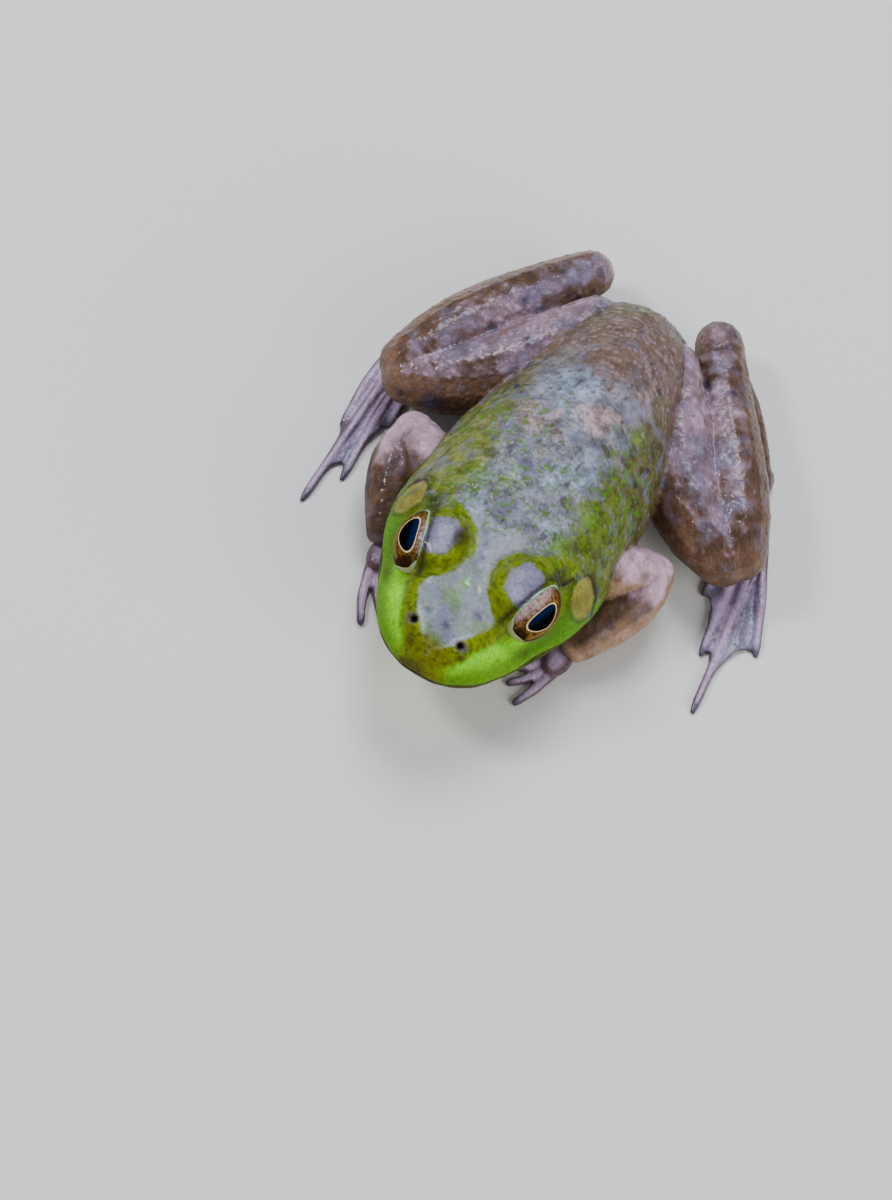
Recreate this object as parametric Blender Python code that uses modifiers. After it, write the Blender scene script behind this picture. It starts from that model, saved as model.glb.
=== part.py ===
"""A young bullfrog sitting on a flat floor, life size, as a still display model.

Metres, +Z up. The frog faces -Y with its left side at +X, and the floor under its belly is the origin.
Head, jaw and trunk are one loft parted by thin cuts. Each limb segment is a loft along its bones, trimmed where it
meets its neighbour. Hands and feet are digits, palm and webs fused into one skin. All sizes below are millimetres.
"""

import math

import bmesh
import bpy
import numpy as np
from mathutils import Matrix, Vector

MM = 0.001
GAP = 0.3  # space left between neighbouring pieces

# ---- Trunk and head -------------------------------------------------------------------------------------------
SNOUT_Y = -34.0
VENT_Y = 26.3
SNOUT_Z = 11.8  # height at which the loft closes at the tip of the snout
VENT_Z = 6.6
SNOUT_ROUNDING = 4.2  # lengths over which the two ends close
VENT_ROUNDING = 5.5
# One row for each station: y, then the height of the ridge of the back, the half width and height of the shoulder
# edge (the canthus on the head), of the widest line (the lip on the head) and of the lower edge, and the keel's height.
STATIONS = (
    (-34.0, 15.2, 2.4, 14.9, 4.6, 11.8, 3.4, 9.8, 9.2),
    (-30.5, 16.9, 3.9, 16.5, 6.7, 11.2, 5.4, 8.4, 7.6),
    (-27.0, 17.8, 4.7, 17.3, 8.7, 10.7, 7.0, 7.3, 6.3),
    (-22.0, 18.7, 6.0, 18.0, 10.9, 10.1, 8.9, 6.1, 5.0),
    (-17.0, 19.4, 7.3, 18.0, 12.6, 9.5, 10.1, 5.0, 3.6),
    (-12.0, 20.0, 8.4, 17.7, 13.2, 9.0, 10.3, 3.9, 2.2),
    (-7.0, 20.6, 8.9, 17.4, 12.7, 8.7, 9.6, 2.8, 0.8),
    (-1.0, 21.0, 9.0, 17.1, 12.4, 8.4, 8.8, 1.9, -0.4),
    (6.0, 20.6, 7.9, 16.6, 10.7, 8.2, 7.8, 1.6, -0.5),
    (12.0, 19.2, 6.7, 15.4, 8.7, 8.0, 6.6, 1.8, -0.5),
    (18.0, 16.4, 6.0, 13.4, 7.6, 7.6, 5.8, 2.2, -0.1),
    (23.0, 13.4, 5.2, 11.2, 6.6, 7.2, 5.0, 3.0, 1.2),
    (26.3, 11.0, 4.8, 9.4, 6.2, 6.8, 4.8, 3.8, 2.4),
)
BODY_RINGS = 56
BODY_SIDES = 48
BODY_VOXEL = 0.5  # spacing of the skin that fuses a piece, before it is thinned to its number of triangles
BODY_TRIANGLES = 1500
HIP_SWAY = 0.8  # the spine curves this far to the left between the shoulders and the hips
SWAY_START_Y = -6.0
SWAY_LENGTH = 34.0

# ---- Eyes and eardrums ----------------------------------------------------------------------------------------
EYE_CENTRE = (6.0, -20.7, 14.7)
EYE_RADIUS = 4.4
EYE_FACING = (0.86, -0.36, 0.36)
LID_CENTRE = (5.3, -21.1, 15.4)
LID_RADII = (4.9, 5.3, 4.9)
LID_OPENING = (5.0, 3.7, 3.2)  # half length, half height and half depth of the opening that the eye looks through
EARDRUM_CENTRE = (11.2, -15.0, 13.2)
EARDRUM_FACING = (0.86, 0.0, 0.5)
EARDRUM_RADIUS = 2.5
EARDRUM_THICKNESS = 1.2

# ---- Limbs, as (x, y, z, half width, half height) at each bone station, for the left side ----------------------
UPPER_ARM = (
    (8.0, -9.6, 9.0, 3.4, 3.6),
    (11.4, -7.6, 8.2, 3.3, 3.5),
    (14.2, -5.4, 7.2, 3.1, 3.2),
    (15.6, -4.0, 6.3, 2.7, 2.8),
)
FOREARM = (
    (16.2, -3.6, 6.0, 2.5, 2.7),
    (16.0, -6.8, 5.6, 3.1, 3.1),
    (15.0, -11.0, 4.7, 2.8, 2.8),
    (13.2, -15.3, 3.2, 1.8, 1.9),
)
THIGH = {
    "left": (
        (5.2, 19.8, 9.0, 3.4, 4.0),
        (8.6, 14.6, 8.4, 4.2, 4.4),
        (12.6, 8.8, 7.6, 4.6, 4.5),
        (17.6, 4.6, 7.0, 4.2, 4.2),
        (22.0, 2.9, 6.7, 3.4, 3.6),
    ),
    "right": (
        (5.2, 19.8, 9.0, 3.4, 4.0),
        (8.2, 14.4, 8.4, 4.2, 4.4),
        (11.8, 9.0, 7.6, 4.6, 4.5),
        (16.2, 4.6, 7.0, 4.2, 4.2),
        (20.2, 2.6, 6.7, 3.4, 3.6),
    ),
}
SHANK = {
    "left": (
        (23.4, 4.4, 7.0, 3.2, 3.6),
        (20.6, 8.8, 7.4, 3.9, 4.0),
        (16.6, 14.4, 7.4, 4.0, 3.9),
        (12.0, 21.4, 6.8, 3.5, 3.4),
        (8.1, 28.3, 5.8, 2.8, 2.8),
    ),
    "right": (
        (21.4, 3.8, 7.0, 3.2, 3.6),
        (19.4, 8.6, 7.4, 3.9, 4.0),
        (16.3, 14.6, 7.4, 4.0, 3.9),
        (12.8, 21.4, 6.8, 3.5, 3.4),
        (9.4, 27.7, 5.8, 2.8, 2.8),
    ),
}
ANKLE = {
    "left": (
        (8.9, 29.0, 2.1, 2.0, 2.2),
        (14.4, 24.4, 2.0, 2.1, 2.2),
        (18.6, 19.6, 1.7, 1.8, 1.9),
        (20.6, 17.0, 1.4, 1.6, 1.6),
    ),
    "right": (
        (9.8, 28.4, 2.1, 2.0, 2.2),
        (15.2, 24.2, 2.0, 2.1, 2.2),
        (19.0, 19.6, 1.7, 1.8, 1.9),
        (20.8, 17.0, 1.4, 1.6, 1.6),
    ),
}
LIMB_SIDES = 12

# ---- Digits, from the inner to the outer, as the (x, y) places of the joints; radii at the root and the tip ------
HAND_ROOT = (12.6, -15.4)
FINGERS = {
    "left": (
        ((10.6, -17.0), (8.4, -17.8), (6.6, -17.8)),
        ((10.6, -18.0), (8.6, -20.0), (6.7, -20.9)),
        ((11.3, -18.6), (9.8, -21.2), (8.2, -22.9)),
        ((12.2, -18.6), (11.4, -21.8), (10.2, -24.9)),
    ),
    "right": (
        ((10.6, -17.0), (8.4, -18.0), (6.5, -18.2)),
        ((10.6, -18.2), (8.2, -20.8), (6.1, -21.8)),
        ((11.2, -19.0), (9.3, -22.2), (7.3, -24.5)),
        ((12.2, -19.0), (11.1, -22.8), (9.4, -26.2)),
    ),
}
FINGER_RADII = (1.15, 0.75)
PALM = (11.9, -16.8, 1.5)
PALM_RADII = (2.1, 2.9, 1.5)
HAND_VOXEL = 0.4
HAND_TRIANGLES = 300
FOOT_ROOT = {"left": (20.4, 17.4), "right": (20.6, 17.4)}
TOES = {
    "left": (
        ((20.6, 12.4), (19.9, 8.0), (18.8, 4.8)),
        ((21.6, 10.6), (22.0, 5.4), (22.0, 0.6)),
        ((22.9, 9.4), (24.3, 0.8), (25.6, -6.6)),
        ((24.2, 9.0), (26.6, -1.6), (28.3, -13.8)),
        ((25.0, 10.2), (28.8, 2.6), (31.2, -3.0)),
    ),
    "right": (
        ((20.0, 12.4), (18.8, 8.0), (17.4, 4.6)),
        ((20.6, 10.4), (20.2, 4.6), (19.8, -1.6)),
        ((21.6, 9.0), (21.5, -1.0), (20.9, -10.8)),
        ((22.8, 8.6), (23.3, -3.6), (23.4, -16.0)),
        ((24.0, 9.8), (24.8, 2.4), (24.4, -4.6)),
    ),
}
TOE_RADII = (1.3, 0.7)
FOOT_VOXEL = 0.35
FOOT_TRIANGLES = 520
WEB_REACH = {  # how far along each toe, from its root, the web is fixed
    "left": (0.9, 0.95, 0.97, 0.74, 0.97),
    "right": (0.9, 0.95, 0.97, 0.84, 0.97),
}
WEB_SCALLOP = 0.06  # how far the free edge of a web is drawn in between two toes
WEB_THICKNESS = 0.9
DIGIT_SINK = 0.25  # a digit's underside is this far under the floor before it is cut flat

# ---- Cuts ------------------------------------------------------------------------------------------------------
NECK_Y = -10.2
MOUTH_HEIGHT = 11.0  # the mouth line's height at the snout, and its fall towards the jaw's corner
MOUTH_FALL = math.radians(7.0)

SHARP_ANGLE = math.radians(40)
LOOKS = {  # the look of each kind of piece; those not named are legs
    "trunk": "back",
    "head": "lip",
    "lower_jaw": "throat",
    "hand": "toe",
    "foot": "toe",
    "eye": "eye",
    "eardrum": "eardrum",
}
COLOURS = {
    "back": ((0.20, 0.19, 0.10), 0.35),
    "lip": ((0.22, 0.36, 0.04), 0.35),
    "throat": ((0.50, 0.48, 0.30), 0.4),
    "leg": ((0.19, 0.12, 0.08), 0.35),
    "toe": ((0.26, 0.19, 0.19), 0.35),
    "eye": ((0.10, 0.06, 0.02), 0.08),
    "eardrum": ((0.25, 0.20, 0.08), 0.4),
}


def clear_scene():
    for obj in list(bpy.data.objects):
        bpy.data.objects.remove(obj, do_unlink=True)


def material(name):
    made = bpy.data.materials.get(name)
    if made is None:
        colour, roughness = COLOURS[name]
        made = bpy.data.materials.new(name)
        made.use_nodes = True
        shader = made.node_tree.nodes["Principled BSDF"]
        shader.inputs["Base Color"].default_value = (*colour, 1.0)
        shader.inputs["Roughness"].default_value = roughness
        shader.inputs["Metallic"].default_value = 0.0
    return made


def smooth_line(knots, values, at):
    """The smooth curve through (knots, values), read at the places in at. Its slopes are those of the chords."""
    knots, values, at = (np.asarray(x, float) for x in (knots, values, at))
    slopes = np.gradient(values, knots)
    index = np.clip(np.searchsorted(knots, at) - 1, 0, len(knots) - 2)
    span = knots[index + 1] - knots[index]
    t = (at - knots[index]) / span
    start, end = values[index], values[index + 1]
    return (
        start * (1 + 2 * t) * (1 - t) ** 2
        + slopes[index] * span * t * (1 - t) ** 2
        + end * t * t * (3 - 2 * t)
        + slopes[index + 1] * span * t * t * (t - 1)
    )


def smooth_path(points, count):
    """count points evenly spaced in parameter along the smooth curve through the given ones."""
    points = np.asarray(points, float)
    steps = np.linalg.norm(np.diff(points[:, :2], axis=0), axis=1)
    knots = np.concatenate([[0.0], np.cumsum(steps)])
    at = np.linspace(0.0, knots[-1], count)
    return np.stack([smooth_line(knots, column, at) for column in points.T], axis=1)


def new_object(name, mesh, collection="bullfrog"):
    obj = bpy.data.objects.new(name, mesh)
    group = bpy.data.collections.get(collection)
    if group is None:
        group = bpy.data.collections.new(collection)
        bpy.context.scene.collection.children.link(group)
    group.objects.link(obj)
    return obj


def loft(name, rings, collection="bullfrog"):
    """A closed skin over rings of equal point counts, with a pole at each end."""
    rings = np.asarray(rings)
    count, sides = rings.shape[:2]
    build = bmesh.new()
    rows = [[build.verts.new(point * MM) for point in ring] for ring in rings]
    for lower, upper in zip(rows, rows[1:]):
        for k in range(sides):
            after = (k + 1) % sides
            build.faces.new((lower[k], lower[after], upper[after], upper[k]))
    for ring, row in ((rings[0], rows[0]), (rings[-1], rows[-1])):
        pole = build.verts.new(ring.mean(axis=0) * MM)
        for k in range(sides):
            build.faces.new((row[k], row[(k + 1) % sides], pole))
    bmesh.ops.recalc_face_normals(build, faces=build.faces)
    mesh = bpy.data.meshes.new(name)
    build.to_mesh(mesh)
    build.free()
    return new_object(name, mesh, collection)


def tube_rings(stations, count, sides):
    """Elliptical rings along a limb of (x, y, z, half width, half height) stations, rounded off at both ends."""
    path = smooth_path(stations, count)
    tangents = np.gradient(path[:, :3], axis=0)
    tangents /= np.linalg.norm(tangents, axis=1)[:, None]
    across = np.cross(tangents, (0.0, 0.0, 1.0))
    across /= np.linalg.norm(across, axis=1)[:, None]
    up = np.cross(across, tangents)
    turn = np.linspace(0.0, 2 * math.pi, sides, endpoint=False)
    rings = []

    def ring(k, share, ahead):
        centre = path[k, :3] + tangents[k] * ahead * path[k, 3]
        side = across[k] * path[k, 3] * share
        rise = up[k] * path[k, 4] * share
        return [centre + side * math.cos(a) + rise * math.sin(a) for a in turn]

    caps = [math.radians(a) for a in (75, 50, 25)]
    rings += [ring(0, math.cos(a), -math.sin(a)) for a in caps]
    rings += [ring(k, 1.0, 0.0) for k in range(count)]
    rings += [ring(count - 1, math.cos(a), math.sin(a)) for a in reversed(caps)]
    return np.array(rings)


def limb(name, stations, side, rings=9, sides=LIMB_SIDES, collection="bullfrog"):
    obj = loft(name, tube_rings(stations, rings, sides), collection)
    if side == "right":
        mirror_across(obj)
    return obj


def mirror_across(obj):
    """Turns a piece made for the left side into one for the right."""
    obj.data.transform(Matrix.Scale(-1.0, 4, (1.0, 0.0, 0.0)))
    obj.data.flip_normals()


def body_section(row, y, closing):
    """The outline of the body at y: a closed smooth curve through the eight rails, drawn in by closing at the ends."""
    ridge, edge_x, edge_z, wide_x, wide_z, low_x, low_z, keel = row
    middle = SNOUT_Z if y < 0 else VENT_Z
    half = ((0.0, ridge), (edge_x, edge_z), (wide_x, wide_z), (low_x, low_z), (0.0, keel))
    outline = list(half) + [(-x, z) for x, z in reversed(half[1:-1])]
    outline = np.array([(x * closing, middle + (z - middle) * closing) for x, z in outline])
    wrapped = np.concatenate([outline[-3:], outline, outline[:4]])
    steps = np.linalg.norm(np.diff(wrapped, axis=0), axis=1) ** 0.5
    knots = np.concatenate([[0.0], np.cumsum(steps)])
    at = np.linspace(knots[3], knots[-4], BODY_SIDES, endpoint=False)
    x, z = (smooth_line(knots, column, at) for column in wrapped.T)
    return np.stack([x, np.full_like(x, y), z], axis=1)


def end_closing(y):
    """1 along the body, and falling to 0 as a quarter circle over the rounding at each end."""
    front = min(1.0, (y - SNOUT_Y) / SNOUT_ROUNDING)
    back = min(1.0, (VENT_Y - y) / VENT_ROUNDING)
    return math.sqrt(1 - (1 - front) ** 2) * math.sqrt(1 - (1 - back) ** 2)


def sway(y):
    share = min(1.0, max(0.0, (y - SWAY_START_Y) / SWAY_LENGTH))
    return HIP_SWAY * math.sin(math.pi * share)


def body_blank():
    """Head, jaw and trunk in one skin, with the domes of the eyelids."""
    table = np.array(STATIONS)
    share = np.linspace(0.0, math.pi, BODY_RINGS + 2)[1:-1]
    even = np.linspace(0.0, 1.0, BODY_RINGS + 2)[1:-1]
    along = 0.45 * (1 - np.cos(share)) / 2 + 0.55 * even
    places = SNOUT_Y + (VENT_Y - SNOUT_Y) * along
    columns = [smooth_line(table[:, 0], column, places) for column in table.T[1:]]
    rings = [body_section(row, y, end_closing(y)) for row, y in zip(zip(*columns), places)]
    blanks = [loft("body", rings, "blanks")]
    for sign in (1, -1):
        x, y, z = LID_CENTRE
        blanks.append(ellipsoid("lid", (sign * x, y, z), LID_RADII))
    body = fuse("body", blanks, voxel=BODY_VOXEL, triangles=BODY_TRIANGLES, softness=8, symmetric=True)
    for vertex in body.data.vertices:
        vertex.co.x += sway(vertex.co.y / MM) * MM
    return body


def digit(start, joints, radii, side):
    """One finger or toe, lying on the floor from the root through its joints to the tip."""
    places = (start, *joints)
    thickness = np.interp(np.linspace(0.0, 1.0, len(places)), (0.0, 1.0), radii)
    stations = [(x, y, r - DIGIT_SINK, r, r) for (x, y), r in zip(places, thickness)]
    return limb("digit", stations, side, rings=7, sides=10, collection="blanks")


def web(start, inner, outer, reach, side):
    """The skin between two toes: a thin sheet whose free edge is drawn in between them."""
    rows, columns = 9, 5
    edges = [smooth_path((start, *joints), 40) for joints in (inner, outer)]
    build = bmesh.new()
    grid = []
    for along in np.linspace(0.12, 1.0, rows):
        row = []
        for across in np.linspace(0.0, 1.0, columns):
            drawn = along * (1 - WEB_SCALLOP * math.sin(math.pi * across) * along)
            ends = [
                [np.interp(drawn * far, np.linspace(0, 1, 40), column) for column in edge.T]
                for edge, far in zip(edges, reach)
            ]
            x, y = (1 - across) * np.array(ends[0]) + across * np.array(ends[1])
            row.append(build.verts.new((x * MM, y * MM, (WEB_THICKNESS - DIGIT_SINK) * MM)))
        grid.append(row)
    for near, far in zip(grid, grid[1:]):
        for k in range(columns - 1):
            build.faces.new((near[k], near[k + 1], far[k + 1], far[k]))
    bmesh.ops.recalc_face_normals(build, faces=build.faces)
    if sum(face.normal.z for face in build.faces) < 0:
        bmesh.ops.reverse_faces(build, faces=build.faces)
    mesh = bpy.data.meshes.new("web")
    build.to_mesh(mesh)
    build.free()
    obj = new_object("web", mesh, "blanks")
    shell = obj.modifiers.new("thickness", "SOLIDIFY")
    shell.thickness = WEB_THICKNESS * MM
    shell.offset = -1.0
    apply_modifiers(obj)
    if side == "right":
        mirror_across(obj)
    return obj


def ellipsoid(name, centre, radii, collection="blanks", turn=Matrix.Identity(4), around=16):
    build = bmesh.new()
    bmesh.ops.create_uvsphere(build, u_segments=around, v_segments=around // 2 + 1, radius=MM)
    place = Matrix.Translation(Vector(centre) * MM) @ turn @ Matrix.Diagonal((*radii, 1.0))
    bmesh.ops.transform(build, matrix=place, verts=build.verts)
    mesh = bpy.data.meshes.new(name)
    build.to_mesh(mesh)
    build.free()
    return new_object(name, mesh, collection)


def apply_modifiers(obj):
    """Replaces an object's mesh by what its modifiers make of it."""
    graph = bpy.context.evaluated_depsgraph_get()
    made = bpy.data.meshes.new_from_object(obj.evaluated_get(graph))
    obj.modifiers.clear()
    obj.data = made


def fuse(name, blanks, voxel, triangles, softness=3, symmetric=False):
    """Joins overlapping blanks into one closed skin, evened out and then thinned to a number of triangles."""
    build = bmesh.new()
    for blank in blanks:
        build.from_mesh(blank.data)
        bpy.data.objects.remove(blank)
    mesh = bpy.data.meshes.new(name)
    build.to_mesh(mesh)
    build.free()
    obj = new_object(name, mesh)
    remesh = obj.modifiers.new("one skin", "REMESH")
    remesh.mode = "VOXEL"
    remesh.voxel_size = voxel * MM
    even = obj.modifiers.new("even", "SMOOTH")
    even.factor = 0.5
    even.iterations = softness
    apply_modifiers(obj)
    obj.data.calc_loop_triangles()
    thin = obj.modifiers.new("thin", "DECIMATE")
    thin.ratio = triangles / len(obj.data.loop_triangles)
    thin.use_symmetry = symmetric
    apply_modifiers(obj)
    return obj


def box(name, low, high):
    """A cutting block between two corners, kept out of the model."""
    low, high = Vector(low) * MM, Vector(high) * MM
    build = bmesh.new()
    bmesh.ops.create_cube(build, size=1.0)
    bmesh.ops.scale(build, vec=high - low, verts=build.verts)
    bmesh.ops.translate(build, vec=(high + low) / 2, verts=build.verts)
    mesh = bpy.data.meshes.new(name)
    build.to_mesh(mesh)
    build.free()
    return as_cutter(new_object(name, mesh, "cutters"))


def as_cutter(obj):
    obj.hide_render = True
    obj.display_type = "WIRE"
    return obj


def grown(obj, by=GAP):
    """A cutter the shape of obj, larger all round by the gap between pieces."""
    mesh = obj.data.copy()
    mesh.update()
    offsets = np.array([vertex.normal for vertex in mesh.vertices]) * by * MM
    for vertex, offset in zip(mesh.vertices, offsets):
        vertex.co += Vector(offset)
    return as_cutter(new_object(obj.name + "_room", mesh, "cutters"))


def cut(obj, cutter, operation="DIFFERENCE"):
    trim = obj.modifiers.new(cutter.name, "BOOLEAN")
    trim.operation = operation
    trim.object = cutter
    trim.solver = "EXACT"
    apply_modifiers(obj)
    keep_largest(obj)


def keep_largest(obj):
    """Drops the crumbs that a cut leaves, so that one closed body stays."""
    build = bmesh.new()
    build.from_mesh(obj.data)
    unseen = set(build.verts)
    islands = []
    while unseen:
        island, edge = set(), [unseen.pop()]
        while edge:
            vertex = edge.pop()
            island.add(vertex)
            near = {link.other_vert(vertex) for link in vertex.link_edges} & unseen
            unseen -= near
            edge.extend(near)
        islands.append(island)
    islands.sort(key=len)
    for island in islands[:-1]:
        bmesh.ops.delete(build, geom=list(island), context="VERTS")
    build.to_mesh(obj.data)
    build.free()


def copy_of(obj, name):
    return new_object(name, obj.data.copy())


def part_body(body, floor):
    """Parts the body into trunk, head and lower jaw with two thin cuts."""
    cut(body, floor)
    wide, high = 40.0, 60.0
    ahead = box("ahead_of_neck", (-wide, -80.0, -high), (wide, NECK_Y, high))
    ahead_and_gap = box("ahead_and_gap", (-wide, -80.0, -high), (wide, NECK_Y + GAP, high))
    front = copy_of(body, "head")
    cut(front, ahead, "INTERSECT")
    cut(body, ahead_and_gap)
    body.name = "trunk"

    jaw = copy_of(front, "lower_jaw")
    below = box("below_mouth", (-wide, -80.0, -high), (wide, 80.0, 0.0))
    below_and_gap = box("below_and_gap", (-wide, -80.0, -high), (wide, 80.0, GAP))
    for block in (below, below_and_gap):
        place = Matrix.Translation(Vector((0.0, SNOUT_Y, MOUTH_HEIGHT)) * MM)
        block.data.transform(place @ Matrix.Rotation(-MOUTH_FALL, 4, "X"))
    cut(jaw, below, "INTERSECT")
    cut(front, below_and_gap)
    return {"trunk": body, "head": front, "lower_jaw": jaw}


def mirrored(point, side):
    sign = 1 if side == "left" else -1
    return Vector((sign * point[0], point[1], point[2]))


def facing_turn(facing):
    """Turns +Z to a direction, keeping X as level as it can be."""
    return Vector(facing).to_track_quat("Z", "Y").to_matrix().to_4x4()


def eye(side):
    return ellipsoid(side + "_eye", mirrored(EYE_CENTRE, side), (EYE_RADIUS,) * 3, "bullfrog")


def lid_opening(side):
    """The lens-shaped cutter that opens the lids over the eye."""
    facing = mirrored(EYE_FACING, side).normalized()
    centre = mirrored(EYE_CENTRE, side) + facing * EYE_RADIUS
    return as_cutter(ellipsoid(side + "_opening", centre, LID_OPENING, "cutters", facing_turn(facing)))


def eardrum(side):
    """A shallow domed disc, lying flush in the side of the head."""
    facing = mirrored(EARDRUM_FACING, side).normalized()
    centre = mirrored(EARDRUM_CENTRE, side) - facing * 0.6 * EARDRUM_THICKNESS
    radii = (EARDRUM_RADIUS, EARDRUM_RADIUS, EARDRUM_THICKNESS)
    return ellipsoid(side + "_eardrum", centre, radii, "bullfrog", facing_turn(facing), around=12)


def hand(side, floor):
    blanks = [digit(HAND_ROOT, joints, FINGER_RADII, side) for joints in FINGERS[side]]
    sign = 1 if side == "left" else -1
    blanks.append(ellipsoid("palm", (sign * PALM[0], PALM[1], PALM[2]), PALM_RADII))
    made = fuse(side + "_hand", blanks, voxel=HAND_VOXEL, triangles=HAND_TRIANGLES)
    cut(made, floor)
    return made


def foot(side, floor):
    root, toes = FOOT_ROOT[side], TOES[side]
    blanks = [digit(root, joints, TOE_RADII, side) for joints in toes]
    for k in range(len(toes) - 1):
        blanks.append(web(root, toes[k], toes[k + 1], WEB_REACH[side][k : k + 2], side))
    made = fuse(side + "_foot", blanks, voxel=FOOT_VOXEL, triangles=FOOT_TRIANGLES)
    cut(made, floor)
    return made


def leg(side, floor):
    """The hind leg's pieces, each trimmed by the next, and the room that the upper two need in the trunk."""
    thigh = limb(side + "_thigh", THIGH[side], side, rings=8)
    shank = limb(side + "_shank", SHANK[side], side, rings=8)
    ankle = limb(side + "_ankle", ANKLE[side], side, rings=6, sides=10)
    rooms = grown(thigh), grown(shank)
    ankle_room = grown(ankle)
    cut(ankle, floor)
    cut(thigh, rooms[1])
    cut(shank, ankle_room)
    cut(ankle, grown(foot(side, floor)))
    return rooms


def arm(side, floor):
    """The foreleg's pieces, each trimmed by the next, and the room that the upper two need in the body."""
    upper = limb(side + "_upper_arm", UPPER_ARM, side, rings=6, sides=10)
    lower = limb(side + "_forearm", FOREARM, side, rings=7, sides=10)
    rooms = grown(upper), grown(lower)
    cut(upper, rooms[1])
    cut(lower, grown(hand(side, floor)))
    return rooms


def colour_parts():
    for obj in bpy.data.collections["bullfrog"].objects:
        kind = obj.name.removeprefix("left_").removeprefix("right_")
        obj.data.materials.clear()
        obj.data.materials.append(material(LOOKS.get(kind, "leg")))
        obj.data.shade_smooth()
        obj.data.set_sharp_from_angle(angle=SHARP_ANGLE)


def main():
    clear_scene()
    floor = box("floor", (-90.0, -90.0, -60.0), (90.0, 90.0, 0.0))
    parts = part_body(body_blank(), floor)
    for side in ("left", "right"):
        ball, drum = eye(side), eardrum(side)
        for cutter in (lid_opening(side), grown(ball), grown(drum)):
            cut(parts["head"], cutter)
        for room in arm(side, floor):
            for piece in parts.values():
                cut(piece, room)
        for room in leg(side, floor):
            cut(parts["trunk"], room)
    colour_parts()


main()
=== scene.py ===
import math

import bpy
import numpy as np
from mathutils import Matrix, Vector
from mathutils.bvhtree import BVHTree


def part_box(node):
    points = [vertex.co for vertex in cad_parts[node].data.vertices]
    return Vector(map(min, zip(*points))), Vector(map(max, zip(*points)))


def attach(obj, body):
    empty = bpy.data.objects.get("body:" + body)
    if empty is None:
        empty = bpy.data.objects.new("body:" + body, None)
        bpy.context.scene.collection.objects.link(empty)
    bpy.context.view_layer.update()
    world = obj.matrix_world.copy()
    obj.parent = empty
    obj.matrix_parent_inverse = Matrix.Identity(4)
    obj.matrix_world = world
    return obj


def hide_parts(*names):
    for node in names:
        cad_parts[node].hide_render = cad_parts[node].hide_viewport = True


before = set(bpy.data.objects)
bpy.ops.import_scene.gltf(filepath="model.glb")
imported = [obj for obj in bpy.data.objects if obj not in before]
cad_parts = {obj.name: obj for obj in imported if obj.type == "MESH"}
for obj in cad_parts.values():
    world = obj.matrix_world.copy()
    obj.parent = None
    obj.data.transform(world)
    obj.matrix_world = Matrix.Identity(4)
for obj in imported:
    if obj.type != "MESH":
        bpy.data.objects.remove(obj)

bl_info = {
    "name": "Bullfrog",
    "version": (1, 0, 0),
    "blender": (4, 5, 0),
    "location": "3D View > Sidebar > Bullfrog",
    "description": "Dresses a sitting young bullfrog in wet skin, folds, lids and eyes",
    "category": "Object",
}

MM = 0.001
SIDES = {"left": 1, "right": -1}
EYES = ["left_eye", "right_eye"]
FLESH = sorted(set(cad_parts) - set(EYES))
DIGITS = [name for name in FLESH if name.endswith(("hand", "foot"))]
REACH = 3.0  # farther than this from a solid, distances are not measured
OUTSIDE = 9.0  # stands for a place far outside an opening or a rim, where 1 is on the rim
MERGE_DISTANCE = 0.001 * MM
SMOOTHINGS = 14
DIGIT_STEPS, WEB_STEPS, FOLD_STEPS = 29, 41, 24  # places along each digit, web and fold

# ---- Places on the frog, in millimetres, for the left side; the right side has x turned round ----
EYE_FACING = Vector((0.707, -0.37, 0.603)).normalized()
EYE_LONG = Vector((0.305, 0.928, 0.21))  # along the slit of the lids, towards the back
SLIT_HALF = math.sin(math.radians(59))  # the opening of the lids, as seen from the eye's centre
SLIT_ABOVE = math.sin(math.radians(33))
SLIT_BELOW = math.sin(math.radians(63))
LID_REACH = 3.0  # in opening sizes from the middle of the opening, how far the lids are shaped
LID_STAND = 0.30  # how far the lids stand out from the eye
SKIN_SINK = 0.7  # how far inside the eye the skin lies in the opening
LID_MIDDLE = (5.3, -21.1)
LID_HALVES = (3.7, 4.2)  # half width and half length of the eyelid's dome
DOME_TOP = 18.9  # above this height the domes of the eyelids are pressed flatter
PATCH_MIDDLE = (5.5, -20.9)  # the grey patch on the dome, partly a painted reflection of the sky
PATCH_HALVES = (1.95, 2.65)
PATCH_SQUARENESS = 2.6
PUPIL_SHIFT = {"left": (0.0, -0.4), "right": (0.2, 0.4)}  # along the slit and up, as the eyes are turned
NOSTRIL = (2.95, -30.7, 16.5)
PINEAL = (0.1, -24.2, 18.4)
EARDRUM_FACING = Vector((0.86, 0.0, 0.5)).normalized()
EARDRUM_UPWARD = Vector((-0.433, 0.5, 0.745)).normalized()  # along the eardrum, up and back
EARDRUM_HALVES = (3.0, 2.15)
EARDRUM_DEPTH = 2.8
EAR_FOLD = (
    (8.9, -17.8, 16.9), (9.8, -15.3, 16.1), (10.6, -13.2, 15.0),
    (11.6, -12.9, 13.0), (12.3, -13.5, 11.4), (12.8, -14.6, 9.9),
)
MOUTH_FRONT = (-34.0, 11.0)  # y and height of the mouth line at the snout
MOUTH_FALL = math.tan(math.radians(7.0))
MOUTH_CORNER = -12.2
CANTHUS = ((6.4, -24.9, 17.4), (5.2, -27.4, 17.0), (3.6, -29.8, 16.4), (1.8, -31.8, 15.4))
BELOW_CANTHUS = (0.9, -0.5, -2.2)  # from the edge of the snout to the hollow below it
LIME_RIDGE = ((7.6, -24.5, 13.6), (6.4, -28.0, 14.6), (4.6, -30.8, 14.9), (2.0, -32.9, 14.2))
ELBOW = (16.0, -3.4, 6.0)
PALM = ((11.9, -16.8, 1.2), (1.7, 2.6, 1.25))  # middle and half sizes
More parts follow.
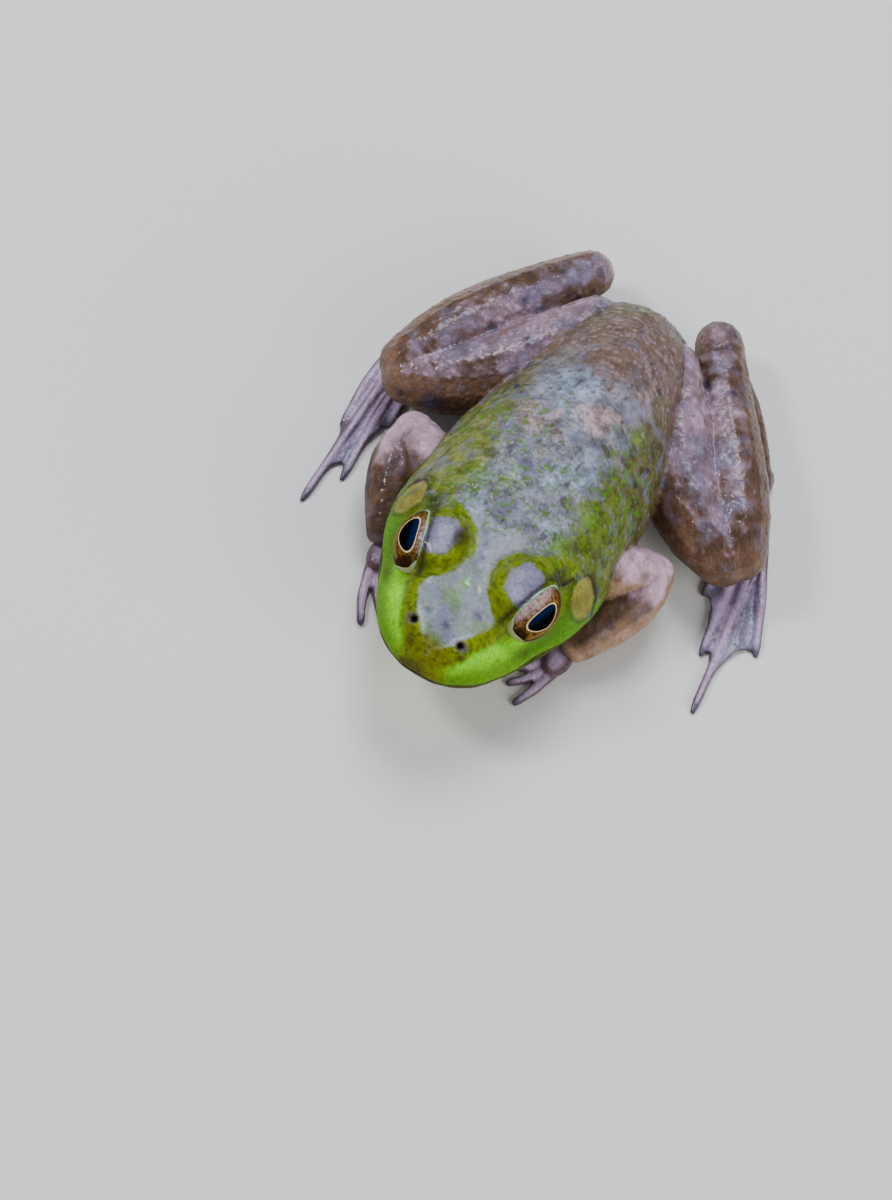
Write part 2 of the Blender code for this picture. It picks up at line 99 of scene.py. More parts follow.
INSTEP = ((20.9, 16.1, 1.2), (1.45, 3.7, 1.6))
FINGER_ROOT = (12.6, -15.4)
BLEND = 0.3  # how softly the colours of neighbouring pieces meet
CREASE_REACH = 1.1
CREASED = (
    ("thigh", "shank"), ("thigh", "body"), ("shank", "body"), ("shank", "ankle"),
    ("forearm", "body"), ("upper_arm", "body"), ("upper_arm", "forearm"),
)

# ---- Places that differ between the sides, with x as it is ----
KNEES = {"left": (21.6, 3.4, 7.0), "right": (-20.2, 3.0, 7.0)}
GROIN_FOLD = {
    "left": ((8.3, 20.0, 11.5), (8.8, 16.4, 12.3), (9.4, 12.0, 11.6)),
    "right": (
        (-9.6, 0.4, 13.0), (-8.9, 4.0, 13.6), (-8.2, 7.6, 13.9), (-7.4, 12.0, 13.4), (-6.6, 17.6, 12.6),
    ),
}
# Marks: x, y, z and size
HEAD_MARKS = (
    (0.4, -29.7, 17.2, 0.65), (-2.3, -29.2, 17.3, 0.6), (3.0, -26.9, 17.8, 0.75), (0.1, -20.7, 18.9, 0.55),
    (-0.5, -19.1, 19.1, 0.5), (0.5, -15.3, 19.6, 0.6), (5.6, -16.1, 18.9, 0.5), (-3.7, -12.1, 19.6, 0.5),
)
LIP_MARKS = ((-4.9, -31.1, 14.1, 0.5), (7.1, -28.2, 13.5, 0.5))
TIP_MARKS = (
    (-2.2, -32.3, 14.9, 1.0), (-0.8, -33.3, 11.9, 1.9), (3.8, -31.5, 15.3, 0.9), (-3.9, -31.3, 14.9, 0.8),
)
LEG_MARKS = (
    (-15.0, 11.6, 10.3, 1.0), (-10.3, 11.2, 12.4, 1.1), (-11.4, 17.3, 9.1, 1.2), (-16.2, 0.5, 7.8, 1.7),
    (-17.8, 2.0, 6.6, 1.0), (9.9, 20.4, 9.2, 1.1), (13.0, 20.7, 10.3, 0.8), (18.2, 6.0, 11.5, 0.9),
    (-13.6, 17.0, 10.6, 0.9), (11.9, 3.4, 7.9, 1.1), (14.6, 0.6, 6.0, 0.8),
)
PINK_PATCHES = (
    (-3.5, -2.1, 20.2, 2.4), (2.5, 1.8, 20.7, 2.8), (5.5, 8.4, 18.4, 2.0), (6.3, -7.8, 19.0, 1.6),
    (-5.8, -0.5, 19.1, 1.5),
)
DARK_PATCHES = (
    (-1.3, -7.8, 20.4, 1.5), (5.2, -9.3, 19.5, 1.5), (-0.6, -9.8, 20.2, 1.0), (6.8, 10.8, 17.4, 2.2),
)
GREEN_PATCHES = (
    (7.1, 3.8, 18.4, 1.5), (7.4, -8.3, 18.5, 1.9), (6.4, -13.9, 18.7, 1.8), (-5.9, -12.1, 18.9, 2.2),
    (-3.0, -11.2, 19.7, 1.6),
)
WET_PLACES = ((14.4, 6.0, 11.0, 4.0), (-12.0, 8.0, 11.0, 4.0), (-8.0, 18.0, 12.0, 3.0))
# Measures that change along the frog: y and value
BACK_HALF_WIDTH = ((-16, 8.0), (-10, 7.0), (0, 7.4), (10, 6.8), (20, 6.0))
GREY_HALF_WIDTH = (
    (-32.4, 0.2), (-31.4, 2.2), (-30.4, 2.8), (-27.2, 4.6), (-26.2, 4.3), (-25.2, 2.9),
    (-24.0, 1.8), (-22.0, 1.4), (-20.0, 1.5), (-18.0, 2.6), (-16.5, 4.8), (-15.0, 7.2), (-12.5, 8.4),
)
GREEN_TOP = (
    (-33.5, 13.6), (-31.8, 15.1), (-30.2, 16.1), (-28.4, 16.3), (-27.3, 15.7), (-24.7, 14.4), (-13.0, 12.5),
)
SOLE = (0.22, 0.17, 0.11)  # the colour under the limbs
CORNER_SHADE_SHARE = {"left": 0.35, "right": 0.95}  # share of the painted shade, a dark brown, at the inner corner of the eyelid's dome

# ---- Digits, each from its first joint to its tip, with x for the left side ----
WEB_REACH = {"left": (0.9, 0.95, 0.97, 0.88, 0.97), "right": (0.9, 0.95, 0.97, 0.92, 0.97)}
FINGERS = {
    "left": (
        ((10.6, -17.0), (8.4, -17.8), (6.7, -17.8)),
        ((10.6, -18.0), (8.6, -20.0), (6.8, -20.9)),
        ((11.3, -18.6), (9.8, -21.2), (8.3, -22.8)),
        ((12.2, -18.6), (11.4, -21.8), (10.3, -24.7)),
    ),
    "right": (
        ((10.6, -17.0), (8.4, -18.0), (6.6, -18.2)),
        ((10.6, -18.2), (8.2, -20.8), (6.2, -21.7)),
        ((11.2, -19.0), (9.3, -22.2), (7.4, -24.4)),
        ((12.2, -19.0), (11.1, -22.8), (9.5, -26.0)),
    ),
}
TOE_ROOT = {"left": (20.4, 17.4), "right": (20.6, 17.4)}
TOES = {
    "left": (
        ((20.6, 12.4), (19.9, 8.0), (18.8, 4.9)),
        ((21.6, 10.6), (22.0, 5.4), (22.0, 0.8)),
        ((22.9, 9.4), (24.3, 0.8), (25.6, -6.4)),
        ((24.2, 9.0), (26.6, -1.6), (28.3, -13.6)),
        ((25.0, 10.2), (28.8, 2.6), (31.1, -2.8)),
    ),
    "right": (
        ((20.0, 12.4), (18.8, 8.0), (17.4, 4.7)),
        ((20.6, 10.4), (20.2, 4.6), (19.8, -1.4)),
        ((21.6, 9.0), (21.5, -1.0), (20.9, -10.6)),
        ((22.8, 8.6), (23.3, -3.6), (23.4, -15.8)),
        ((24.0, 9.8), (24.8, 2.4), (24.4, -4.4)),
    ),
}

# ---- The view: turns in radians, lengths in metres ----
VIEW_AZIMUTH, VIEW_ELEVATION, VIEW_ROLL = (math.radians(turn) for turn in (10, 60, 22))
VIEW_DISTANCE = 0.9
VIEW_HEIGHT = 0.1405  # what the view's long side covers at the frog
VIEW_MIDDLE = Vector((3.12, 0.0, 0.0)) * MM
VIEW_RIGHT, VIEW_UP = 13.35, 9.37  # millimetres that the frog lies right of and above the view's middle
SENSOR = 36.0


def tint(name, description, default):
    return bpy.props.FloatVectorProperty(
        name=name, description=description, default=default, subtype="COLOR", size=3, min=0.0, max=1.0
    )


def length(name, description, default):
    return bpy.props.FloatProperty(
        name=name, description=description, default=default * MM, unit="LENGTH", precision=5, min=0.0
    )


class BullfrogSizes(bpy.types.PropertyGroup):
    skin_spacing: length("Skin spacing", "Distance between the points of the skin", 0.24)
    swelling: length("Swelling", "How far the skin lies outside the solids, to close their gaps", 0.18)
    wart_height: length("Wart height", "Height of the warts on the rump and legs", 0.13)
    wrinkle_depth: length("Wrinkle depth", "Depth of the wrinkles behind the head", 0.16)
    crease_depth: length("Crease depth", "Depth of the creases where two limbs press together", 0.08)
    lid_rim: length("Lid rim", "Thickness of the rims of the eyelids", 0.28)
    pupil_length: length("Pupil length", "Length of the pupil", 3.95)
    pupil_height: length("Pupil height", "Height of the pupil", 2.55)
    finger_root: length("Finger root", "Half the thickness of a finger at its root", 0.86)
    finger_tip: length("Finger tip", "Half the thickness of a finger near its tip", 0.50)
    toe_root: length("Toe root", "Half the thickness of a toe at its root", 1.05)
    toe_tip: length("Toe tip", "Half the thickness of a toe near its tip", 0.50)
    web_thickness: length("Web thickness", "Thickness of the webs between the toes", 0.55)
    floor_size: length("Floor size", "Side of the square floor", 2000.0)
    skin_triangles: bpy.props.IntProperty(
        name="Skin triangles", description="How many triangles the skin is thinned to",
        default=195000, min=1000,
    )


class BullfrogColours(bpy.types.PropertyGroup):
    lip: tint("Lip", "Lime green of the lips", (0.115, 0.300, 0.0))
    # partly the lips' own green, partly a painted highlight along the edge of the snout
    lime: tint("Lime", "Brightest green, along the edge of the snout", (0.290, 0.88, 0.0))
    cheek: tint("Cheek", "Green below and behind the eyes", (0.077, 0.235, 0.010))
    tip: tint("Snout tip", "Brown green at the tip of the snout", (0.170, 0.180, 0.0))
    brow: tint("Brow", "Yellow olive of the rings round the eyelids", (0.180, 0.255, 0.0))
    # dark olive for the streaks in the rings and for painted shade at the foot of each dome
    brow_streaks_and_shade: tint("Brow streaks", "Dark streaks in the rings round the eyelids", (0.045, 0.060, 0.0))
    # The greys of the domes and the snout are partly the skin's own grey and partly a painted reflection of
    # the sky.
    dome: tint("Dome", "Grey of the tops of the eyelids", (0.19, 0.19, 0.29))
    snout: tint("Snout", "Grey on top of the snout", (0.270, 0.320, 0.345))
    back: tint("Back", "Grey of the back", (0.170, 0.176, 0.200))
    back_light: tint("Pale back", "Pale grey blue on the back", (0.250, 0.300, 0.390))
    patch: tint("Patches", "Lilac brown patches on the back", (0.270, 0.195, 0.200))
    rump: tint("Rump", "Brown of the rump", (0.150, 0.092, 0.072))
    flank: tint("Flank", "Olive brown of the flanks", (0.099, 0.085, 0.028))
    # dark brown low on the flanks: partly the frog's own brown, partly painted shade
    low_flank_and_shade: tint("Low flank", "Dark brown low on the flanks", (0.035, 0.030, 0.014))
    shoulder: tint("Shoulder", "Green of the shoulders", (0.112, 0.155, 0.008))
    leg: tint("Leg", "Brown of the legs", (0.098, 0.051, 0.031))
    # a painted reflection of the sky on the wet tops of the legs
    sheen: tint("Sheen", "Lilac on top of the wet legs", (0.410, 0.285, 0.400))
    toe: tint("Toe", "Purple brown of the toes", (0.130, 0.078, 0.088))
    # a painted reflection of the sky on the tops of the toes and fingers
    toe_sheen: tint("Toe sheen", "Lilac on top of the toes", (0.470, 0.360, 0.560))
    # partly the webs' own grey blue, partly a painted reflection of the sky
    web: tint("Web", "Grey blue of the webs", (0.250, 0.245, 0.410))
    belly: tint("Belly", "Cream of the belly and throat", (0.52, 0.48, 0.30))
    eardrum: tint("Eardrum", "Tan of the eardrums", (0.300, 0.255, 0.055))
    mark: tint("Marks", "Dark blue of the spots on the legs and back", (0.020, 0.024, 0.060))
    floor: tint("Floor", "Floor", (0.82, 0.83, 0.81))


# ---- Meshes as arrays of points, in millimetres ----
def array_of(items, field):
    """A row of three numbers for each item."""
    flat = np.empty(len(items) * 3, np.float32)
    items.foreach_get(field, flat)
    return flat.reshape(-1, 3).astype(float)


def points_of(mesh):
    return array_of(mesh.vertices, "co") / MM


def move_points(mesh, points):
    mesh.vertices.foreach_set("co", (points * MM).astype(np.float32).ravel())
    mesh.update()


def mirrored(places, side):
    return np.array(places, float) * (SIDES[side], 1, 1)


def ease(values, low, high):
    """0 up to low and 1 from high on, changing smoothly between them."""
    share = np.clip((values - low) / (high - low), 0.0, 1.0)
    return share * share * (3 - 2 * share)


def bell(values, middle, width):
    """1 at the middle, falling smoothly to both sides."""
    return np.exp(-(((values - middle) / width) ** 2))


def distance_to_path(points, path):
    """How far each point is from a path of straight lines."""
    path = np.asarray(path, float)
    best = np.full(len(points), np.inf)
    for start, end in zip(path, path[1:]):
        along = end - start
        share = np.clip((points - start) @ along / (along @ along), 0.0, 1.0)
        best = np.minimum(best, np.linalg.norm(points - start - share[:, None] * along, axis=1))
    return best


def near_path(points, path, width):
    """1 on the path, falling smoothly to 0 at the width."""
    return np.clip(1 - (distance_to_path(points, path) / width) ** 2, 0.0, 1.0) ** 2


def near_point(points, place, width):
    """1 at the place, falling smoothly to 0 at the width."""
    return np.clip(1 - np.sum(((points - np.asarray(place)) / width) ** 2, axis=1), 0.0, 1.0) ** 2


def on_skin(points, places):
    """The points of the skin that lie nearest to the places."""
    return [points[np.argmin(np.linalg.norm(points - np.asarray(place), axis=1))] for place in places]


def distance_on_skin(points, place):
    """How far each point is from the point of the skin that lies nearest to the place."""
    return np.linalg.norm(points - on_skin(points, [place])[0], axis=1)


def scattered(cells, seed):
    """Three numbers from 0 to 1 for each cell of a grid, the same every time."""
    mixed = cells @ np.array([127.1, 311.7, 74.7]) + seed * 17.3
    return np.stack([np.modf(np.abs(np.sin(mixed * k) * 43758.5453))[0] for k in (1.0, 1.37, 1.91)], axis=-1)


def warts(points, spacing, seed, share=1.0):
    """Low domes scattered over the skin, each from 0 at its edge to 1 on top."""
    scaled = points / spacing
    cells = np.floor(scaled)
    height = np.zeros(len(points))
    for step in np.ndindex(3, 3, 3):
        cell = cells + np.array(step) - 1
        chance = scattered(cell, seed)
        centre = cell + 0.15 + 0.7 * scattered(cell, seed + 5)
        radius = 0.30 + 0.28 * chance[:, 0]
        reach = np.sum((scaled - centre) ** 2, axis=1) / radius**2
        dome = np.clip(1 - reach, 0.0, 1.0) * (chance[:, 1] < share)
        height = np.maximum(height, dome * (0.5 + 0.5 * chance[:, 2]))
    return height


TURNED = np.array(Matrix.Rotation(0.7, 3, "X") @ Matrix.Rotation(0.5, 3, "Y") @ Matrix.Rotation(0.9, 3, "Z"))


def clouds(points, size, seed):
    """Smooth noise from -1 to 1, with patches of about the given size."""
    scaled = points @ TURNED / size + seed * 7.31
    low = np.floor(scaled)
    share = ease(scaled - low, 0.0, 1.0)
    value = np.zeros(len(points))
    for step in np.ndindex(2, 2, 2):
        corner = np.array(step)
        weight = np.prod(np.where(corner, share, 1 - share), axis=1)
        value += weight * scattered(low + corner, seed)[:, 0]
    return value * 2 - 1


def flow(points):
    """Places stretched along the wrinkles, which arch over the back, round the domes, and along the feet."""
    x, y, z = points.T
    placed = np.column_stack([x * 0.6, y + 0.035 * x * x, z * 0.6])
    for sign in SIDES.values():
        across = sign * x - LID_MIDDLE[0]
        ahead = y - LID_MIDDLE[1]
        away = np.hypot(across, ahead)
        round_dome = np.column_stack([np.arctan2(ahead, -across) * 1.6, away, np.full(len(x), 9.0 * sign)])
        placed = np.where(((away < 6.5) & (y < -15.0) & (z > 13.0))[:, None], round_dome, placed)
    low = (z < 2.5) & (np.abs(x) > 15.0)
    return np.where(low[:, None], np.column_stack([x * 1.6, y * 0.3, z]), placed)


# ---- The flesh ----
def deselect_all():
    if bpy.context.object and bpy.context.object.mode != "OBJECT":
        bpy.ops.object.mode_set(mode="OBJECT")
    bpy.ops.object.select_all(action="DESELECT")


def make_active(obj):
    deselect_all()
    obj.select_set(True)
    bpy.context.view_layer.objects.active = obj


def new_object(name, data):
    made = bpy.data.objects.new(name, data)
    bpy.context.scene.collection.objects.link(made)
    return made


def add_modifier(obj, kind, **values):
    make_active(obj)
    bpy.ops.object.modifier_add(type=kind)
    modifier = obj.modifiers[-1]
    for key, value in values.items():
        setattr(modifier, key, value)
    bpy.ops.object.modifier_apply(modifier=modifier.name)


def edit_mesh(merge=False, swelling=None):
    """Merges the points that meet, then swells the selected meshes or else turns their faces outward."""
    bpy.ops.object.mode_set(mode="EDIT")
    bpy.ops.mesh.select_all(action="SELECT")
    if merge:
        bpy.ops.mesh.remove_doubles(threshold=MERGE_DISTANCE)
    if swelling is None:
        bpy.ops.mesh.normals_make_consistent(inside=False)
    else:
        bpy.ops.transform.shrink_fatten(value=swelling)
    bpy.ops.object.mode_set(mode="OBJECT")


def joined_copies(nodes, swelling):
    """One object from copies of CAD nodes, each swollen a little so that neighbours overlap."""
    deselect_all()
    for name in nodes:
        made = new_object("flesh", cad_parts[name].data.copy())
        made.data.materials.clear()
        made.select_set(True)
        bpy.context.view_layer.objects.active = made
    edit_mesh(merge=True, swelling=swelling)
    bpy.ops.object.join()
    return bpy.context.object


def tube(places, radii):
    """A closed tube through the places, with a radius at each."""
    data = bpy.data.curves.new("tube", "CURVE")
    data.dimensions = "3D"
    data.bevel_depth = MM
    data.bevel_resolution = 4
    data.use_fill_caps = True
    line = data.splines.new("POLY")
    line.points.add(len(places) - 1)
    for point, place, radius in zip(line.points, places, radii):
        point.co = (*(Vector(place) * MM), 1.0)
        point.radius = radius
    make_active(new_object("tube", data))
    bpy.ops.object.convert(target="MESH")
    made = bpy.context.object
    edit_mesh(merge=True)
    return made


def curved(places, count):
    """count places on the smooth curve through the given ones."""
    places = np.asarray(places, float)
    knots = np.concatenate([[0.0], np.cumsum(np.linalg.norm(np.diff(places, axis=0), axis=1))])
    slopes = np.gradient(places, knots, axis=0)
    at = np.linspace(0.0, knots[-1], count)
    index = np.clip(np.searchsorted(knots, at) - 1, 0, len(knots) - 2)
    span = (knots[index + 1] - knots[index])[:, None]
    t = (at - knots[index])[:, None] / span
    return (
        places[index] * (1 + 2 * t) * (1 - t) ** 2
        + slopes[index] * span * t * (1 - t) ** 2
        + places[index + 1] * t * t * (3 - 2 * t)
        + slopes[index + 1] * span * t * t * (t - 1)
    )


def digit_path(side, root, joints, count):
    """Places at floor level along a finger or toe."""
    return curved([(SIDES[side] * x, y, 0.0) for x, y in (root, *joints)], count)


def digit(side, root, joints, thick, thin):
    """A finger or toe with knuckles and a rounded tip, lying on the floor."""
    places = digit_path(side, root, joints, DIGIT_STEPS)
    share = np.linspace(0.0, 1.0, DIGIT_STEPS)
    radii = thick / MM + (thin / MM - thick / MM) * share**0.8
    radii *= 1 + 0.06 * np.cos(share * 6 * math.pi)
    radii[-3:] *= (1.0, 0.86, 0.5)
    places[:, 2] = radii * 0.85
    return tube(places, radii)


def pad(side, middle, halves):
    """A rounded lump that joins the digits to their limb: the palm or the instep."""
    deselect_all()
    bpy.ops.mesh.primitive_uv_sphere_add(segments=32, ring_count=16, radius=MM)
    made = bpy.context.object
    move_points(made.data, points_of(made.data) * halves + mirrored(middle, side))
    return made


def web(side, toes, reach, thickness):
    """The skin between two toes: a thin sheet whose free edge is drawn in between them."""
    deselect_all()
    bpy.ops.mesh.primitive_grid_add(x_subdivisions=10, y_subdivisions=24, size=2 * MM)
    made = bpy.context.object
    across, along = (points_of(made.data)[:, :2].T + 1) / 2
    along = 0.08 + 0.92 * along
    along = along * (1 - 0.09 * np.sin(math.pi * across) * along)
    share = np.linspace(0.0, 1.0, WEB_STEPS)
    edges = []
    for joints, far in zip(toes, reach):
        path = digit_path(side, TOE_ROOT[side], joints, WEB_STEPS)
        edges.append([np.interp(along * far, share, path[:, k]) for k in (0, 1)])
    place = [(1 - across) * one + across * other for one, other in zip(*edges)]
    ripple = 0.10 * np.cos(across * 4 * math.pi) * np.sin(math.pi * across)
    move_points(made.data, np.column_stack([*place, 0.45 + ripple]))
    add_modifier(made, "SOLIDIFY", thickness=thickness, offset=0.0)
    edit_mesh()
    return made


def digits(sizes):
    finger, toe = (sizes.finger_root, sizes.finger_tip), (sizes.toe_root, sizes.toe_tip)
    made = []
    for side in SIDES:
        toes, reach = TOES[side], WEB_REACH[side]
        made += [digit(side, FINGER_ROOT, joints, *finger) for joints in FINGERS[side]]
        made += [digit(side, TOE_ROOT[side], joints, *toe) for joints in toes]
        made += [pad(side, *PALM), pad(side, *INSTEP)]
        made += [web(side, toes[k : k + 2], reach[k : k + 2], sizes.web_thickness) for k in range(4)]
    return made


def folds():
    """The folds of loose skin over the ears and in the groins."""
    made = []
    for side in SIDES:
        swell = np.sin(np.linspace(0.15, math.pi - 0.05, FOLD_STEPS)) ** 0.6
        made.append(tube(curved(mirrored(EAR_FOLD, side), FOLD_STEPS), 0.26 * swell + 0.12))
        made.append(tube(curved(GROIN_FOLD[side], FOLD_STEPS), 0.45 * swell + 0.25))
    return made


def join_into(obj, others):
    make_active(obj)
    for other in others:
        other.select_set(True)
    bpy.ops.object.join()
    return obj


# ---- Where on the frog each point of the skin is ----
def node_tree(name):
    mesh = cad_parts[name].data
    corners = [vertex.co / MM for vertex in mesh.vertices]
    return BVHTree.FromPolygons(corners, [tuple(face.vertices) for face in mesh.polygons])


TREES = {name: node_tree(name) for name in FLESH}


def corners_of(name):
    return (np.array(corner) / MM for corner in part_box(name))


def middle_of(name):
    low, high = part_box(name)
    return np.array((low + high) / 2) / MM


def distances(points):
    """How far each point is from each CAD node's surface, no more than REACH."""
    found = {}
    for name, tree in TREES.items():
        low, high = corners_of(name)
        far = np.full(len(points), REACH)
        inside = np.all((points > low - REACH) & (points < high + REACH), axis=1)
        for k in np.flatnonzero(inside):
            distance = tree.find_nearest(points[k], REACH)[3]
            if distance is not None:
                far[k] = distance
        found[name] = far
    return found


def nearest_of(far, *kinds):
    return np.min([d for name, d in far.items() if name.endswith(kinds)], axis=0)


def creases(points, far):
    """1 where two pieces of the frog press together, falling to 0 at the creases' reach."""
    found = np.zeros(len(points))
    body = nearest_of(far, "trunk", "head", "lower_jaw")
    for side in SIDES:
        piece = {name[len(side) + 1 :]: d for name, d in far.items() if name.startswith(side)}
        piece["body"] = body
        for one, other in CREASED:
            apart = np.maximum(piece[one], piece[other]) / CREASE_REACH
            found = np.maximum(found, np.clip(1 - apart, 0.0, 1.0))
        knee = np.linalg.norm(points - KNEES[side], axis=1)
        elbow = np.linalg.norm(points - mirrored(ELBOW, side), axis=1)
        found *= ease(np.minimum(knee, elbow + 1.0), 2.5, 5.0)
    return found


class Regions:
    """Shares of body, arm, leg, hand and foot at each point, and the creases between them."""

    def __init__(self, points):
        far = distances(points)
        groups = {
            "body": ("trunk", "head", "lower_jaw", "eardrum"),
            "arm": ("upper_arm", "forearm"),
            "leg": ("thigh", "shank"),
            "ankle": ("ankle",),
            "hand": ("hand",),
            "foot": ("foot",),
        }
        weights = {name: np.exp(-nearest_of(far, *kinds) / BLEND) for name, kinds in groups.items()}
        total = sum(weights.values())
        self.share = {name: w / total for name, w in weights.items()}
        self.thigh = ease(nearest_of(far, "shank") - nearest_of(far, "thigh"), -0.4, 0.4)
        self.crease = creases(points, far)


# ---- Sculpting ----
def eye_frame(side):
    """The eye's centre and radius, and the directions it faces, of its slit, and up across it."""
    low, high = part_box(side + "_eye")
    radius = (high - low).x / 2 / MM
    facing = mirrored(EYE_FACING, side)
    slit = mirrored(EYE_LONG, side)
    slit = slit - facing * (slit @ facing)
    slit /= np.linalg.norm(slit)
    return middle_of(side + "_eye"), radius, facing, slit, np.cross(facing, slit) * SIDES[side]


def opening_place(points, side):
    """0 at the middle of the lids' opening and 1 on its rim; the distance and direction from the eye."""
    centre, _, facing, slit, up = eye_frame(side)
    away = points - centre
    length = np.linalg.norm(away, axis=1)
    ray = away / length[:, None]
    across = ray @ up
    tall = np.where(across > 0, SLIT_ABOVE, SLIT_BELOW)
    place = np.hypot(ray @ slit / SLIT_HALF, across / tall)
    return np.where(ray @ facing > 0, place, OUTSIDE), length, ray


def sculpt_lids(points):
    """Sinks the skin behind each eye and stands the lids up round it."""
    for side in SIDES:
        centre, radius, *_ = eye_frame(side)
        place, length, ray = opening_place(points, side)
        rim = radius + LID_STAND
        close = ease(length, radius + 3.4, radius + 1.2)
        wanted = length + np.maximum(rim - length, 0.0) * (place < LID_REACH)
        wanted += (rim - wanted) * (ease(place, 1.75, 1.0) * close)
        wanted = np.where((place < 1.0) & (close > 0), radius - SKIN_SINK, wanted)
        points = np.where((place < LID_REACH)[:, None], centre + ray * wanted[:, None], points)
    return points


def mouth_height(points):
    """How far each point is above the mouth line."""
    return points[:, 2] - (MOUTH_FRONT[1] - (points[:, 1] - MOUTH_FRONT[0]) * MOUTH_FALL)


def dome_place(points, side):
    """0 over the middle of an eyelid's dome and 1 where the dome rises from the head, seen from above."""
    across = (SIDES[side] * points[:, 0] - LID_MIDDLE[0]) / LID_HALVES[0]
    return np.hypot(across, (points[:, 1] - LID_MIDDLE[1]) / LID_HALVES[1])


def eardrum_place(points, side):
    """0 at the middle of the eardrum and 1 on its rim."""
    facing = mirrored(EARDRUM_FACING, side)
    away = points - middle_of(side + "_eardrum")
    deep = away @ facing
    flat = away - deep[:, None] * facing
    tall = flat @ mirrored(EARDRUM_UPWARD, side)
    broad = np.sqrt(np.maximum((flat**2).sum(axis=1) - tall**2, 0.0))
    place = np.hypot(tall / EARDRUM_HALVES[0], broad / EARDRUM_HALVES[1])
    return np.where(np.abs(deep) < EARDRUM_DEPTH, place, OUTSIDE)


def sculpt_nostril(points, side):
    away = distance_on_skin(points, mirrored(NOSTRIL, side))
    return 0.26 * bell(away, 0.68, 0.30) - 0.8 * bell(away, 0.0, 0.38)


def sculpt_eardrum(points, side):
    place = eardrum_place(points, side)
    moat = -0.14 * bell(place, 0.8, 0.14) - 0.08 * bell(place, 1.25, 0.1)
    return 0.10 * bell(place, 1.0, 0.14) + moat + 0.06 * np.clip(1 - place, 0.0, 1.0)


def sculpt_head(points):
    """How far the skin of the head moves out or in: lips, snout edge, nostrils and eardrums."""
    x, y, z = points.T
    above = mouth_height(points)
    corner = ease(y, MOUTH_CORNER + 0.6, MOUTH_CORNER - 1.4) * (np.abs(x) < 15)
    move = -0.5 * bell(above, 0.0, 0.22) * corner
    move += 0.16 * bell(above, 0.8, 0.6) * corner
    for side, sign in SIDES.items():
        canthus = np.array(CANTHUS)
        below = canthus[:-1] + BELOW_CANTHUS
        move += 0.30 * near_path(points, mirrored(canthus, side), 1.3)
        move -= 0.28 * near_path(points, mirrored(below, side), 1.7)
        move += sculpt_nostril(points, side) + sculpt_eardrum(points, side)
        inner = ease(sign * x, 7.0, 4.5) * (z > 15)
        move += 0.35 * bell(dome_place(points, side), 1.12, 0.20) * inner
    move += 0.05 * clouds(points, 1.0, 14) * ease(z, 14.0, 16.0)
    return move * ease(y, -10.5, -12.5)


def flatten_domes(points):
    """Presses the tops of the eyelids' domes flatter."""
    head = ease(points[:, 1], -13.5, -15.5)
    points[:, 2] -= 0.55 * np.maximum(points[:, 2] - DOME_TOP, 0.0) * head
    return points


def sculpt_back(points, normals, regions, sizes):
    """Broken wrinkles behind the head, dimples and low bumps on the back, warts on the rump and legs."""
    body = regions.share["body"]
    limb = regions.share["leg"] + regions.share["ankle"] + 0.6 * regions.share["arm"]
    up = ease(normals[:, 2], -0.1, 0.6)
    y = points[:, 1]
    behind_head = ease(y, -20.0, -12.0)
    wrinkled = ease(y, -16.0, -11.0) * ease(y, 9.0, 1.0) * up * body
    move = sizes.wrinkle_depth / MM * clouds(flow(points), 0.85, 1) * wrinkled
    move += (0.10 * clouds(points, 2.6, 3) + 0.07 * clouds(points, 1.1, 9)) * up * body * behind_head
    rump = ease(y + 1.5 * clouds(points, 4.0, 15), 6.0, 13.0)
    height = sizes.wart_height / MM
    move += height * warts(points, 1.05, 4) * rump * body
    move += height * 0.9 * warts(points, 1.9, 8, 0.35) * (1 - rump) * body * behind_head * up
    move += height * 0.8 * warts(points, 0.95, 6, 0.85) * limb * ease(normals[:, 2], -0.4, 0.3)
    return move


def limb_smoothness(obj, points):
    """Gives hands and feet less smoothing than the rest, so that digits and webs keep their thickness."""
    far = np.full(len(points), REACH)
    for name in DIGITS:
        low, high = corners_of(name)
        outside = np.maximum(np.maximum(low - points, points - high), 0.0)
        far = np.minimum(far, np.linalg.norm(outside, axis=1))
    least = 0.12
    weights = ease(far, 0.3, 2.0) * (1 - least) + least
    group = obj.vertex_groups.new(name="soft")
    order = np.argsort(weights)
    levels = np.linspace(least, 1.0, 12)
    for low, high in zip(levels, levels[1:]):
        chosen = order[(weights[order] >= low) & (weights[order] <= high)]
        group.add(chosen.tolist(), float((low + high) / 2), "REPLACE")
    return group.name


# ---- Colours ----
def mix(base, colour, share):
    """The base with the colour laid over it, by the share from 0 to 1 at each point."""
    share = np.clip(share, 0.0, 1.0)[:, None]
    return np.asarray(base) * (1 - share) + np.asarray(colour) * share


def toned(colour, light):
    """The colour at each point, made lighter or darker by the given factor there."""
    return np.asarray(colour) * light[:, None]


def dab(base, points, marks, colour, share, spread=1.0, power=1.0):
    """Round marks of a colour, made larger or smaller by the spread at each point."""
    for *place, size in marks:
        near = near_point(points, place, size * np.reshape(spread, (-1, 1)))
        base = mix(base, colour, share * near**power)
    return base


def along_frog(y, measures):
    """A value that changes smoothly along the frog."""
    return np.interp(y, *zip(*measures))


